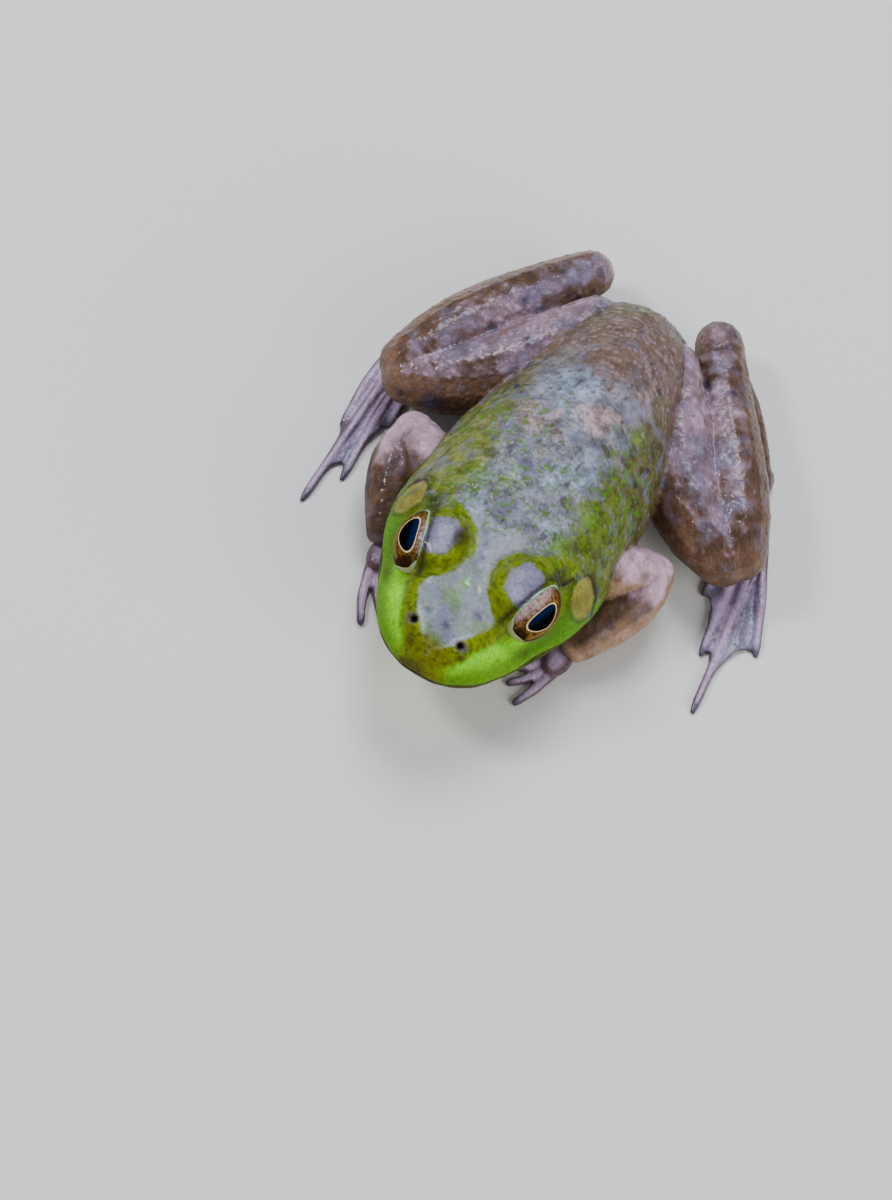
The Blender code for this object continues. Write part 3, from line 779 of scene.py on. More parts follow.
def colour_skin(points, normals, regions, colours):
    """The soft colour of each point, how much of each pattern it takes, and how wet it is."""
    y, z, up = points[:, 1], points[:, 2], normals[:, 2]
    share = regions.share
    cloud, fine = clouds(points, 4.5, 11), clouds(points, 1.2, 12)
    body = colour_back(points, cloud, fine, colours)
    body, streaked, patch, ring = colour_head(points, body, cloud, fine, colours)
    above = mouth_height(points)
    body = mix(body, (0.060, 0.075, 0.012), ease(above, 0.05, -0.25) * ease(y, -10.0, -13.0))
    below = ease(above + 0.6 * cloud + 0.3 * fine, -1.2, -2.6) * ease(y, -10.0, -13.0)
    belly = np.maximum(below, ease(up + 0.12 * cloud, -0.25, -0.65) * (z < 8))
    body = mix(body, colours.belly, belly * ease(y, 24.0, 19.0))
    leg = colour_leg(points, normals, regions.thigh, cloud, fine, colours)
    arm = colour_arm(points, normals, cloud, fine, colours)
    toe = colour_foot(points, normals, cloud, fine, colours)
    parts = {"body": body, "leg": leg, "arm": arm, "ankle": leg, "hand": toe, "foot": toe}
    colour = sum(share[name][:, None] * value for name, value in parts.items())
    # Darker in the creases where pieces press together: painted shade.
    colour *= (1 - 0.8 * ease(regions.crease, 0.55, 0.95))[:, None]

    open_skin = share["body"] * (1 - patch)
    warty = open_skin * ease(y + 2.5 * cloud + 1.6 * fine, 7.0, 12.0)
    mottled = open_skin * ease(y, -18.5, -15.0) * ease(z, 8.0, 12.0) * (1 - 0.45 * warty)
    limbs = share["leg"] + share["ankle"] + 0.7 * share["arm"] + 0.25 * share["foot"]
    mottled = mottled + 0.50 * limbs * ease(up, -0.6, 0.2)
    specked = open_skin * ease(y, -20.5, -17.0) * ease(y, 8.0, -2.0) * ease(z, 11.0, 14.0)
    clumps = ease(clouds(points, 3.4, 31) + 0.08 * np.abs(points[:, 0]), 0.2, 0.8)
    specked *= 0.2 + 0.8 * np.maximum(clumps, 0.85 * ease(y, -9.0, -12.5))
    head = ease(y, -15.0, -18.0) * share["body"]
    wet = 0.34 * (1 - head) + (0.08 + 0.30 * (1 - ring) * ease(z, 16.0, 18.0)) * head
    limb = 0.60
    for *place, size in WET_PLACES:
        limb = np.maximum(limb, near_point(points, place, size) ** 0.5)
    wet = np.maximum(wet, (1 - share["body"]) * limb) * (0.25 + 0.75 * ease(up, 0.0, 0.55))
    patterns = np.stack([mottled, specked, streaked * open_skin], axis=1)
    return colour, patterns, np.stack([wet, warty, head], axis=1)


def colour_back(points, cloud, fine, colours):
    """Grey blue along the middle with lilac brown patches, olive down the flanks and brown on the rump,
    darker low down; the darker low colour is partly the frog's own brown and partly painted shade.
    """
    x, y, z = points.T
    rough = 0.8 * cloud + 0.6 * fine
    body = mix(colours.back, colours.back_light, ease(clouds(points, 7.0, 21) + rough, -0.1, 0.85))
    patchy = ease(clouds(points, 2.8, 22) + 0.5 * fine, 0.15, 0.55) * ease(y, -11.0, -4.0)
    body = mix(body, colours.patch, 0.7 * patchy)
    ragged = 1 + 0.40 * fine + 0.25 * cloud
    body = dab(body, points, PINK_PATCHES, (0.42, 0.29, 0.31), 0.8, ragged, 0.5)
    body = dab(body, points, DARK_PATCHES, (0.065, 0.050, 0.035), 0.75, ragged, 0.7)
    half = along_frog(y, BACK_HALF_WIDTH)
    body = mix(body, colours.flank, ease(np.abs(x) + 1.4 * cloud + 0.8 * fine, half - 1.2, half + 1.4))
    shoulder = ease(y, 2.0, -8.0) * ease(np.abs(x) + 1.5 * cloud + 0.8 * fine, 4.8, 8.5)
    body = mix(body, colours.shoulder, 0.85 * shoulder)
    body = mix(body, (0.235, 0.240, 0.060), 0.5 * shoulder * ease(x, -2.0, -6.0))
    body = dab(body, points, GREEN_PATCHES, (0.115, 0.230, 0.008), 0.75, ragged, 0.6)
    height = z + 1.5 * cloud
    # Darker olive, then dark brown, lower down the flanks: partly the frog's own colour, partly painted
    # shade.
    low = ease(height + 0.6 * fine, 13.5, 9.5) * ease(y, -12.0, -6.0)
    body = mix(body, (0.085, 0.062, 0.026), 0.8 * low)
    body = mix(body, colours.low_flank_and_shade, ease(height, 9.0, 5.0) * ease(y, -12.0, -8.0))
    rump = ease(y + 2.5 * cloud + 1.6 * fine, 6.0, 12.0)
    body = mix(body, colours.rump, rump)
    olive = ease(clouds(points, 3.0, 26) + 0.08 * np.abs(x), 0.2, 0.7)
    body = mix(body, (0.105, 0.100, 0.030), 0.6 * rump * olive)
    # Dark brown low on the rump: partly the frog's own brown, partly painted shade.
    return mix(body, colours.low_flank_and_shade, 0.8 * ease(height, 9.0, 3.0) * rump)


def colour_leg(points, normals, thigh, cloud, fine, colours):
    """Brown, lighter on the sides, with lilac and blue grey on the wet tops and a few dark blue marks; the
    lilac and blue grey are a painted reflection of the sky, and the lighter sides are partly painted light.
    """
    over, ahead, up = normals.T
    cobble = 0.40 * ease(warts(points, 0.95, 6, 0.85), 0.02, 0.5) + 0.25 * fine
    # Lighter brown on the faces that turn sideways: partly the legs' own brown, partly painted light where
    # these faces lie in shade; the right leg gets more of this painted light.
    side = ease(up, -0.7, -0.1) * ease(up, 0.9, 0.6)
    leg = toned(colours.leg, 1.15 + 0.40 * cloud + 0.35 * fine)
    leg = mix(leg, (0.185, 0.098, 0.058), side * (0.35 + cobble))
    leg = mix(leg, (0.300, 0.165, 0.100), 0.35 * side * ease(points[:, 0], 2.0, -4.0))
    # Painted reflection of the sky: lilac and blue grey on the faces that turn up and inward, broken up by
    # the warts.
    shank_top = 0.87 * up - 0.42 * np.sign(points[:, 0]) * over + 0.10 * ahead
    thigh_top = 0.91 * up + 0.36 * ahead
    inward = thigh * thigh_top + (1 - thigh) * shank_top
    top = ease(inward + 0.12 * thigh + 0.14 * fine + 0.16 * cloud, 0.72, 0.98)
    tint = ease(clouds(points, 3.0, 24) + 0.3 * fine, -0.1, 0.5)
    leg = mix(leg, mix(colours.sheen, (0.230, 0.200, 0.320), tint), top * (0.52 + cobble))
    leg = mix(leg, SOLE, ease(up + 0.05 * cloud, -0.88, -0.98))
    return dab(leg, points, LEG_MARKS, colours.mark, 0.9, 1.15 + 0.345 * fine, 0.8)


def colour_arm(points, normals, cloud, fine, colours):
    """Brown, with a lighter orange brown low on the side of the left arm, partly painted light, and paler
    pink on top of the elbow as a painted reflection of the sky.
    """
    up = normals[:, 2]
    arm = toned(colours.leg, 0.95 + 0.4 * cloud + 0.5 * fine)
    # Painted light over the arm's own orange brown, low on the side of the left arm, where the head shades
    # it.
    lit_orange_side = ease(points[:, 0], -4.0, 4.0) * ease(up, 0.95, 0.5)
    arm = mix(arm, (0.41, 0.245, 0.145), lit_orange_side * (0.85 + 0.3 * fine))
    # Pink on top of the elbow: a painted reflection of the sky.
    top = ease(up + 0.22 * fine + 0.16 * cloud, 0.30, 0.80)
    elbow = ease(points[:, 1] + 1.2 * fine, -10.0, -7.0)
    arm = mix(arm, (0.66, 0.44, 0.56), top * elbow * (0.8 + 0.3 * fine))
    return mix(arm, SOLE, ease(up + 0.05 * cloud, -0.85, -0.98))


def colour_foot(points, normals, cloud, fine, colours):
    """Purple brown digits, lilac on top and dark at the tips, with grey blue webs; the lilac is a painted
    reflection of the sky, and the webs' grey blue is partly their own colour and partly a painted reflection
    of the sky.
    """
    z, up = points[:, 2], normals[:, 2]
    toe = toned(colours.toe, 1 + 0.3 * cloud + 0.25 * fine)
    # Painted reflection of the sky: lilac on the upward faces of the digits.
    toe = mix(toe, colours.toe_sheen, 0.95 * ease(up + 0.2 * cloud, 0.66, 0.95) * (z > 0.8))
    # The webs' grey blue, partly a painted reflection of the sky.
    web = toned(colours.web, 1 + 0.25 * cloud + 0.2 * fine)
    toe = mix(toe, web, ease(z, 0.95, 0.62) * ease(up, 0.6, 0.9))
    for side, sign in SIDES.items():
        tips = [(sign * x, y, 0.6, 2.0) for *_, (x, y) in (*FINGERS[side], *TOES[side])]
        toe = dab(toe, points, tips, (0.070, 0.050, 0.075), 0.75)
    return toe


def colour_head(points, body, cloud, fine, colours):
    """Lime lips and cheeks, yellow olive rings round grey domes, tan eardrums and dark nostrils; the greys
    of the snout and domes are partly a painted reflection of the sky, and the brightest lime is partly a
    painted highlight.
    """
    x, y, z = points.T
    front = ease(y, -12.5, -15.5)
    half = along_frog(y, GREY_HALF_WIDTH)
    # The snout's grey: partly the skin's own grey, partly a painted reflection of the sky.
    grey = toned(colours.snout, 1 + 0.12 * cloud + 0.15 * fine)
    lilac = ease(clouds(points, 1.9, 33) + 0.4 * fine, 0.0, 0.6)
    grey = mix(grey, (0.190, 0.180, 0.310), 0.85 * lilac)
    mossy = ease(clouds(points, 2.2, 34) + 0.3 * fine, 0.1, 0.6)
    grey = mix(grey, (0.160, 0.260, 0.090), 0.8 * mossy)
    out = np.abs(x - 0.2)
    # Paler along the front edges of the grey patch: a painted highlight.
    rim = ease(out + 0.3 * fine, half - 1.0, half - 0.2) * ease(y + cloud, -29.0, -30.5)
    grey = mix(grey, (0.46, 0.51, 0.57), 0.7 * rim)
    body = mix(body, grey, ease(y + cloud, -20.5, -24.0))
    brow = ease(out + 0.35 * fine + 0.30 * cloud, half - 0.15, half + 0.35) * front
    body = mix(body, toned(colours.brow, 1 + 0.25 * cloud + 0.35 * fine), brow)
    edge = along_frog(y, GREEN_TOP)
    green = ease(z + 0.35 * fine, edge + 0.25, edge - 0.75) * front
    green = np.maximum(green, 0.9 * jaw_edge(points))
    body = mix(body, toned(colours.lip, 1 + 0.2 * cloud), green)
    body = mix(body, colours.cheek, 0.8 * ease(y, -25.0, -21.0) * ease(z, 8.5, 11.5) * green)
    # Brightest lime along the ridge under the snout's edge: partly the lips' own green, partly a painted
    # highlight.
    lime_highlight = np.max([near_path(points, mirrored(LIME_RIDGE, side), 2.5) for side in SIDES], axis=0)
    body = mix(body, colours.lime, 0.95 * lime_highlight * green)
    tip = ease(np.abs(x + 0.2) + 0.5 * cloud, 4.0, 2.0) * ease(y + 0.4 * fine, -30.6, -32.2)
    body = mix(body, colours.tip, 0.92 * tip)
    body = dab(body, points, TIP_MARKS, (0.065, 0.034, 0.003), 0.85, 1 + 0.4 * fine, 0.7)
    lip_line = bell(mouth_height(points), 0.15, 0.35) * ease(y, -11.0, -12.5)
    body = mix(body, (0.10, 0.13, 0.004), 0.6 * lip_line)
    streaked = np.maximum(brow * (1 - 0.75 * green), tip)
    patch = 0.0
    for side in SIDES:
        body, covered = colour_eye_surround(points, body, side, fine, colours)
        patch = np.maximum(patch, covered)
    body = dab(body, points, HEAD_MARKS, (0.055, 0.045, 0.130), 0.8, 1.25 + 0.375 * fine)
    body = dab(body, points, LIP_MARKS, (0.02, 0.03, 0.0), 0.85)
    spot = distance_on_skin(points, PINEAL)
    body = mix(body, (0.10, 0.40, 0.03), 0.9 * ease(spot, 0.72, 0.42))
    return mix(body, (0.62, 0.75, 0.60), ease(spot, 0.34, 0.18)), streaked, patch, brow * (1 - patch)


def colour_eye_surround(points, body, side, fine, colours):
    """The grey patch on the eyelid's dome, with painted shade at the dome's foot and a dark brown painted
    shade at its inner corner, the eardrum, and the nostril with painted shade in its opening.
    """
    x, y, z = points.T
    across, ahead = SIDES[side] * x, y
    centre, _, _, slit, _ = eye_frame(side)
    dome = dome_place(points, side)
    above = ease(z, 16.4, 17.6)
    # Painted shade at the foot of the dome, where it rises from the ring.
    body = mix(body, colours.brow_streaks_and_shade, 0.5 * bell(dome, 0.85, 0.16) * above)
    # The grey patch: partly the dome's own grey, partly a painted reflection of the sky, with a painted
    # highlight, the shine, at its front.
    flat = np.column_stack([across, ahead])
    square = np.sum(np.abs((flat - PATCH_MIDDLE) / PATCH_HALVES) ** PATCH_SQUARENESS, axis=1)
    patch = ease(square ** (1 / PATCH_SQUARENESS) + 0.10 * fine, 1.06, 0.92) * above
    shine = near_point(flat, (5.2, -22.6), (1.5, 1.4))
    body = mix(body, mix(toned(colours.dome, 1 + 0.20 * fine), (0.40, 0.40, 0.52), 0.55 * shine), patch)
    # Painted shade, a dark brown, on the steep inner side of the dome; stronger on the right.
    corner = CORNER_SHADE_SHARE[side] * near_point(flat, (3.5, -20.1), (1.5, 2.6)) ** 0.7
    body = mix(body, (0.030, 0.016, 0.006), corner * above * ease(dome, 1.0, 0.8))
    place, length, _ = opening_place(points, side)
    near = ease(length, 7.0, 5.6)
    body = mix(body, (0.15, 0.17, 0.05), 0.4 * bell(place, 1.28, 0.10) * near * ease(z, 17.0, 15.5))
    front_corner = ease(-(points - centre) @ slit, 2.2, 3.4)
    dark = 0.30 + 0.65 * np.maximum(front_corner, ease(z, 15.5, 17.0))
    body = mix(body, (0.024, 0.012, 0.012), dark * bell(place, 1.13, 0.08) * near)
    ear = eardrum_place(points, side)
    body = mix(body, (0.055, 0.050, 0.008), 0.7 * bell(ear, 1.05, 0.08))
    drum = ease(ear + 0.08 * fine, 1.08, 0.80)
    tan = toned(colours.eardrum, 0.70 + 0.40 * np.clip(ear, 0, 1) + 0.45 * fine)
    body = mix(body, mix(tan, (0.095, 0.060, 0.012), 0.45 * ease(ear, 0.45, 0.0)), 0.85 * drum)
    fold = distance_to_path(points, on_skin(points, curved(mirrored(EAR_FOLD, side), 12)))
    body = mix(body, (0.014, 0.006, 0.007), 0.95 * bell(fold, 0.0, 0.36))
    hole = distance_on_skin(points, mirrored(NOSTRIL, side))
    body = mix(body, (0.10, 0.06, 0.11), 0.8 * ease(hole, 1.10, 0.75))
    # Near black in the middle: painted shade in the nostril's opening.
    body = mix(body, (0.008, 0.003, 0.008), ease(hole, 0.60, 0.38))
    return body, np.maximum(patch, drum)


def jaw_edge(points):
    """The lime green along the upper lip to the corner of the jaw."""
    above = mouth_height(points)
    return ease(above, -0.1, 0.2) * ease(above, 3.0, 1.6) * ease(points[:, 1], -10.8, -12.4)


# ---- Materials ----
MIX_ONE, MIX_OTHER, MIX_RESULT = 6, 7, 2  # the numbers of a Mix node's colour sockets


class Nodes:
    """A material's nodes, added and linked by short calls."""

    def __init__(self, name):
        self.material = bpy.data.materials.new(name)
        self.material.use_nodes = True
        self.tree = self.material.node_tree
        self.shader = self.tree.nodes["Principled BSDF"]

    def fill(self, node, inputs):
        """Links or sets a node's inputs, given by name or number."""
        for key, value in inputs.items():
            socket = node.inputs[key]
            if hasattr(value, "is_output"):
                self.tree.links.new(value, socket)
            else:
                socket.default_value = (*value, 1.0) if socket.type == "RGBA" else value

    def add(self, kind, inputs, **values):
        node = self.tree.nodes.new("ShaderNode" + kind)
        for key, value in values.items():
            setattr(node, key, value)
        self.fill(node, inputs)
        return node.outputs

    def attribute(self, name, output="Vector"):
        return self.add("Attribute", {}, attribute_name=name)[output]

    def place(self):
        return self.add("TexCoord", {})["Object"]

    def split(self, vector):
        return self.add("SeparateXYZ", {0: vector})

    def noise(self, scale, detail=3.0, roughness=0.55, vector=None, **mapping):
        """Soft noise, read through a Mapping node where a Location or Scale is given."""
        vector = vector or self.place()
        if mapping:
            vector = self.add("Mapping", {"Vector": vector, **mapping})["Vector"]
        inputs = {"Vector": vector, "Scale": scale, "Detail": detail, "Roughness": roughness}
        return self.add("TexNoise", inputs)["Fac"]

    def cells(self, scale, feature="SMOOTH_F1"):
        return self.add("TexVoronoi", {"Vector": self.place(), "Scale": scale}, feature=feature)

    def dots(self, scale, radius, share):
        """Round dots, in the given share of the cells of a pattern."""
        cells = self.cells(scale, "F1")
        red, green, _ = self.add("SeparateColor", {0: cells["Color"]})
        size = self.times(green, radius)
        inside = self.ramp(self.math("SUBTRACT", cells["Distance"], size), 0.03, -0.03)
        return self.times(inside, self.math("LESS_THAN", red, share))

    def ramp(self, value, low, high, to_low=0.0, to_high=1.0):
        inputs = {"Value": value, "From Min": low, "From Max": high, "To Min": to_low, "To Max": to_high}
        return self.add("MapRange", inputs, interpolation_type="SMOOTHSTEP")["Result"]

    def math(self, operation, one, other=0.0):
        return self.add("Math", {0: one, 1: other}, operation=operation)[0]

    def times(self, one, other):
        return self.math("MULTIPLY", one, other)

    def mix(self, share, one, other, blend="MIX"):
        inputs = {"Factor": share, MIX_ONE: one, MIX_OTHER: other}
        return self.add("Mix", inputs, data_type="RGBA", blend_type=blend)[MIX_RESULT]

    def layer(self, base, pattern, low, high, where, strength, colour):
        """The base with a colour over it, where the pattern is above low and high."""
        share = self.times(self.ramp(pattern, low, high), where)
        return self.mix(self.times(share, strength), base, colour)

    def bump(self, height, distance, strength=1.0, **under):
        inputs = {"Height": height, "Distance": distance, "Strength": strength, **under}
        return self.add("Bump", inputs)["Normal"]


def skin_material(colours):
    nodes = Nodes("bullfrog_skin")
    colour = nodes.attribute("skin_colour", "Color")
    mottled, green, streaked = nodes.split(nodes.attribute("skin_marks"))
    wet, warty, head = nodes.split(nodes.attribute("skin_film"))
    along = nodes.attribute("skin_flow")

    grain = nodes.noise(2300.0, 4.0, 0.7)
    colour = nodes.mix(1.0, colour, nodes.ramp(grain, 0.32, 0.68, 0.80, 1.20), "MULTIPLY")
    blotch = nodes.noise(600.0, 5.0, 0.62)
    shade = nodes.mix(mottled, (1.0, 1.0, 1.0), nodes.ramp(blotch, 0.34, 0.66, 0.58, 1.38))
    colour = nodes.mix(1.0, colour, shade, "MULTIPLY")
    tints = nodes.noise(430.0, 2.0, Location=(0.0, 0.31, 0.0))
    pale = nodes.noise(1.5, vector=along, Location=(31.0, 7.0, 0.0))
    wrinkles = nodes.noise(1.7, vector=along)
    dashes = nodes.noise(1150.0, Scale=(1.0, 0.45, 0.8))
    specks = nodes.noise(1350.0, Location=(0.11, 0.0, 0.0))
    streaks = nodes.noise(2.3, vector=along, Location=(3.0, 11.0, 0.0))
    layers = (
        (tints, 0.50, 0.68, mottled, 0.40, (0.200, 0.205, 0.370)),
        (pale, 0.54, 0.70, mottled, 0.30, (0.34, 0.40, 0.45)),
        # Dark lines along the wrinkles: painted shade in their grooves.
        (wrinkles, 0.52, 0.68, mottled, 0.50, (0.065, 0.050, 0.034)),
        (dashes, 0.57, 0.69, mottled, 0.62, (0.055, 0.032, 0.014)),
        (specks, 0.52, 0.62, green, 0.75, (0.085, 0.21, 0.006)),
        (streaks, 0.46, 0.64, streaked, 0.62, colours.brow_streaks_and_shade),
    )
    for layer in layers:
        colour = nodes.layer(colour, *layer)
    tops = nodes.times(nodes.dots(1150.0, 0.50, 0.95), warty)
    colour = nodes.mix(nodes.times(tops, 0.45), colour, (0.36, 0.26, 0.27))
    dots = nodes.dots(330.0, 0.24, 0.40)
    dots = nodes.times(dots, nodes.math("ADD", nodes.times(mottled, 0.8), 0.10))
    colour = nodes.mix(dots, colour, colours.mark)

    rough = nodes.ramp(nodes.noise(900.0), 0.3, 0.7, 0.42, 0.60)
    normal = nodes.bump(nodes.noise(3000.0, 4.0, 0.6), 0.12 * MM, 0.9)
    normal = nodes.bump(nodes.cells(1150.0)["Distance"], 0.16 * MM, 0.7, Normal=normal)
    normal = nodes.bump(nodes.noise(1000.0), 0.25 * MM, 0.7, Normal=normal)
    calm = nodes.ramp(head, 0.0, 1.0, 1.0, 0.35)
    ripple = nodes.bump(nodes.times(nodes.cells(1500.0)["Distance"], calm), 0.12 * MM, 0.6)
    ripple = nodes.bump(nodes.times(nodes.noise(900.0, 2.0), calm), 0.25 * MM, 0.55, Normal=ripple)
    inputs = {"Base Color": colour, "Roughness": rough, "Specular IOR Level": 0.06, "Normal": normal}
    film = {"Coat Weight": wet, "Coat Roughness": 0.15, "Coat IOR": 1.45, "Coat Normal": ripple}
    nodes.fill(nodes.shader, {**inputs, **film})
    return nodes.material


def eye_material(sizes):
    """Black pupil with a cream rim in a bronze iris, read from each point's place across the eye; the blue
    in the upper pupil is a painted reflection of the sky, and the pink on the upper iris a painted
    highlight.
    """
    nodes = Nodes("bullfrog_eye")
    long, tall, _ = nodes.split(nodes.attribute("gaze"))

    half_long, half_tall = sizes.pupil_length / MM / 2, sizes.pupil_height / MM / 2
    upper = nodes.math("DIVIDE", tall, 0.85 * half_tall)
    lower = nodes.math("DIVIDE", tall, -1.15 * half_tall)
    power = nodes.ramp(tall, -0.3, 0.3, 1.65, 2.3)
    one = nodes.math("POWER", nodes.math("ABSOLUTE", nodes.math("DIVIDE", long, half_long)), power)
    other = nodes.math("POWER", nodes.math("MAXIMUM", upper, lower), power)
    around = nodes.math("POWER", nodes.math("ADD", one, other), nodes.math("DIVIDE", 1.0, power))

    mottle = nodes.noise(2200.0, 5.0, 0.7)
    iris = nodes.mix(nodes.ramp(mottle, 0.38, 0.62), (0.030, 0.012, 0.004), (0.235, 0.120, 0.020))
    # Lighter pink on the upper iris: a painted highlight.
    light = nodes.ramp(tall, 0.9, 2.0)
    painted_iris_glint = nodes.mix(nodes.ramp(mottle, 0.35, 0.6), (0.24, 0.15, 0.15), (0.55, 0.40, 0.40))
    iris = nodes.mix(nodes.times(light, 0.75), iris, painted_iris_glint)
    low = nodes.ramp(tall, -1.5, -2.3)
    iris = nodes.mix(nodes.times(low, 0.6), iris, (0.30, 0.22, 0.07))
    front = nodes.ramp(nodes.math("ABSOLUTE", nodes.math("ADD", long, 3.0)), 0.80, 0.35)
    front = nodes.times(front, nodes.ramp(tall, 0.9, 0.2))
    iris = nodes.mix(nodes.times(front, 0.9), iris, (0.018, 0.007, 0.003))
    edge = nodes.ramp(nodes.math("ABSOLUTE", nodes.math("SUBTRACT", around, 1.06)), 0.060, 0.025)
    iris = nodes.mix(edge, iris, (0.80, 0.66, 0.34))
    inside = nodes.ramp(around, 1.03, 0.99)
    # Dark blue in the upper pupil: a painted reflection of the sky.
    sky = nodes.mix(nodes.ramp(tall, -0.2, 0.9), (0.0005, 0.0005, 0.001), (0.002, 0.009, 0.055))
    colour = nodes.mix(inside, iris, sky)
    rough = nodes.ramp(inside, 0.0, 1.0, 0.32, 0.12)
    wet = nodes.ramp(tall, -0.4, 0.9, 0.04, 0.35)
    inputs = {"Base Color": colour, "Roughness": rough, "Specular IOR Level": 0.0}
    nodes.fill(nodes.shader, {**inputs, "Coat Weight": wet, "Coat Roughness": 0.03, "Coat IOR": 1.33})
    return nodes.material


def rim_material():
    nodes = Nodes("bullfrog_lid_rim")
    colour = nodes.attribute("rim_colour", "Color")
    colour = nodes.mix(nodes.ramp(nodes.noise(2400.0), 0.4, 0.7, 0.0, 0.3), colour, (0.16, 0.14, 0.05))
    rough = nodes.ramp(nodes.noise(1500.0), 0.3, 0.7, 0.22, 0.36)
    inputs = {"Base Color": colour, "Roughness": rough, "Specular IOR Level": 0.1}
    nodes.fill(nodes.shader, {**inputs, "Coat Weight": 0.45, "Coat Roughness": 0.08})
    return nodes.material


def plain_material(name, colour, roughness):
    nodes = Nodes(name)
    nodes.fill(nodes.shader, {"Base Color": colour, "Roughness": roughness})
    return nodes.material


def add_colour(mesh, name, values):
    attribute = mesh.attributes.new(name, "FLOAT_COLOR", "POINT")
    values = np.column_stack([values, np.ones(len(values))])
    attribute.data.foreach_set("color", values.astype(np.float32).ravel())


def add_vectors(mesh, name, values):
    attribute = mesh.attributes.new(name, "FLOAT_VECTOR", "POINT")
    attribute.data.foreach_set("vector", np.asarray(values, np.float32).ravel())


# ---- Operators ----
class FROG_OT_skin(bpy.types.Operator):
    """Draw one skin over all the flesh, with its folds, warts and colours"""

    bl_idname = "frog.skin"
    bl_label = "Skin"

    def execute(self, context):
        sizes, colours = context.scene.bullfrog_sizes, context.scene.bullfrog_colours
        solid = [name for name in FLESH if name not in DIGITS]
        skin = joined_copies(solid, sizes.swelling)
        skin = join_into(skin, [joined_copies(EYES, 0.0)] + digits(sizes) + folds())
        skin.name = skin.data.name = "bullfrog_skin"
        add_modifier(skin, "REMESH", mode="VOXEL", voxel_size=sizes.skin_spacing)
        soft = limb_smoothness(skin, points_of(skin.data))
        add_modifier(skin, "SMOOTH", factor=0.5, iterations=SMOOTHINGS, vertex_group=soft)
        self.sculpt(skin.data, sizes)

        skin.data.calc_loop_triangles()
        add_modifier(skin, "DECIMATE", ratio=sizes.skin_triangles / len(skin.data.loop_triangles))
        skin.vertex_groups.clear()
        bpy.ops.object.shade_smooth()
        points, normals = points_of(skin.data), array_of(skin.data.vertex_normals, "vector")
        colour, marks, film = colour_skin(points, normals, Regions(points), colours)
        add_colour(skin.data, "skin_colour", colour)
        add_vectors(skin.data, "skin_marks", marks)
        add_vectors(skin.data, "skin_flow", flow(points))
        add_vectors(skin.data, "skin_film", film)
        skin.data.materials.append(skin_material(colours))
        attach(skin, "root")
        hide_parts(*FLESH)
        return {"FINISHED"}

    def sculpt(self, mesh, sizes):
        points = sculpt_lids(points_of(mesh))
        move_points(mesh, points)
        normals = array_of(mesh.vertex_normals, "vector")
        regions = Regions(points)
        move = sculpt_head(points) + sculpt_back(points, normals, regions, sizes)
        move -= sizes.crease_depth / MM * regions.crease**1.5
        points = flatten_domes(points + normals * move[:, None])
        points[:, 2] = np.maximum(points[:, 2], 0.0)
        move_points(mesh, points)


class FROG_OT_eyes(bpy.types.Operator):
    """Add the two eyes, each with the rims of its lids"""

    bl_idname = "frog.eyes"
    bl_label = "Eyes"

    def execute(self, context):
        sizes = context.scene.bullfrog_sizes
        shown, rim = eye_material(sizes), rim_material()
        for side in SIDES:
            self.eyeball(side, shown)
            self.lid_rim(side, sizes.lid_rim / MM / 2, rim)
        return {"FINISHED"}

    def eyeball(self, side, material):
        centre, radius, facing, slit, up = eye_frame(side)
        deselect_all()
        bpy.ops.mesh.primitive_uv_sphere_add(segments=96, ring_count=48, radius=radius * MM)
        eye = bpy.context.object
        eye.name = eye.data.name = side + "_eyeball"
        points = points_of(eye.data)
        bulge = 1 + 0.035 * ease(points[:, 2] / radius, 0.55, 0.95)
        turn = np.array([slit, up, facing])  # the pole looks ahead
        move_points(eye.data, centre + (points * bulge[:, None]) @ turn)
        add_vectors(eye.data, "gaze", points - (*PUPIL_SHIFT[side], 0.0))
        self.finish(eye, material)
        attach(eye, "root")
        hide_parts(side + "_eye")

    def lid_rim(self, side, thick, material):
        centre, radius, facing, slit, up = eye_frame(side)
        deselect_all()
        bpy.ops.mesh.primitive_torus_add(
            major_segments=96, minor_segments=16, major_radius=1.0, minor_radius=thick
        )
        rim = bpy.context.object
        rim.name = rim.data.name = side + "_lid_rim"
        x, y, z = points_of(rim.data).T * MM
        angle = np.arctan2(y, x)
        long, tall = np.cos(angle), np.sin(angle)
        long_part, tall_part = long * SLIT_HALF, tall * np.where(tall > 0, SLIT_ABOVE, SLIT_BELOW)
        ahead = np.sqrt(1 - long_part**2 - tall_part**2)
        ray = long_part[:, None] * slit + tall_part[:, None] * up + ahead[:, None] * facing
        sideways = long[:, None] * slit + tall[:, None] * up
        sideways -= ray * np.sum(ray * sideways, axis=1)[:, None]
        sideways /= np.linalg.norm(sideways, axis=1)[:, None]
        front = ease(-long, 0.66, 0.96)
        out = np.hypot(x, y) - 1.0
        out = np.where(out < 0, out * (1 + 4.2 * front), out)
        lift = radius + 0.12 + z
        move_points(rim.data, centre + ray * lift[:, None] + sideways * out[:, None])
        # The upper rim's pale cyan green: partly the lid's own green, partly a painted reflection along its
        # wet edge.
        colour = mix((0.10, 0.09, 0.02), (0.25, 0.62, 0.38), ease(tall, -0.1, 0.3))
        add_colour(rim.data, "rim_colour", mix(colour, (0.33, 0.36, 0.13), front))
        self.finish(rim, material)
        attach(rim, "root")

    def finish(self, obj, material):
        edit_mesh()
        bpy.ops.object.shade_smooth()
        obj.data.materials.append(material)


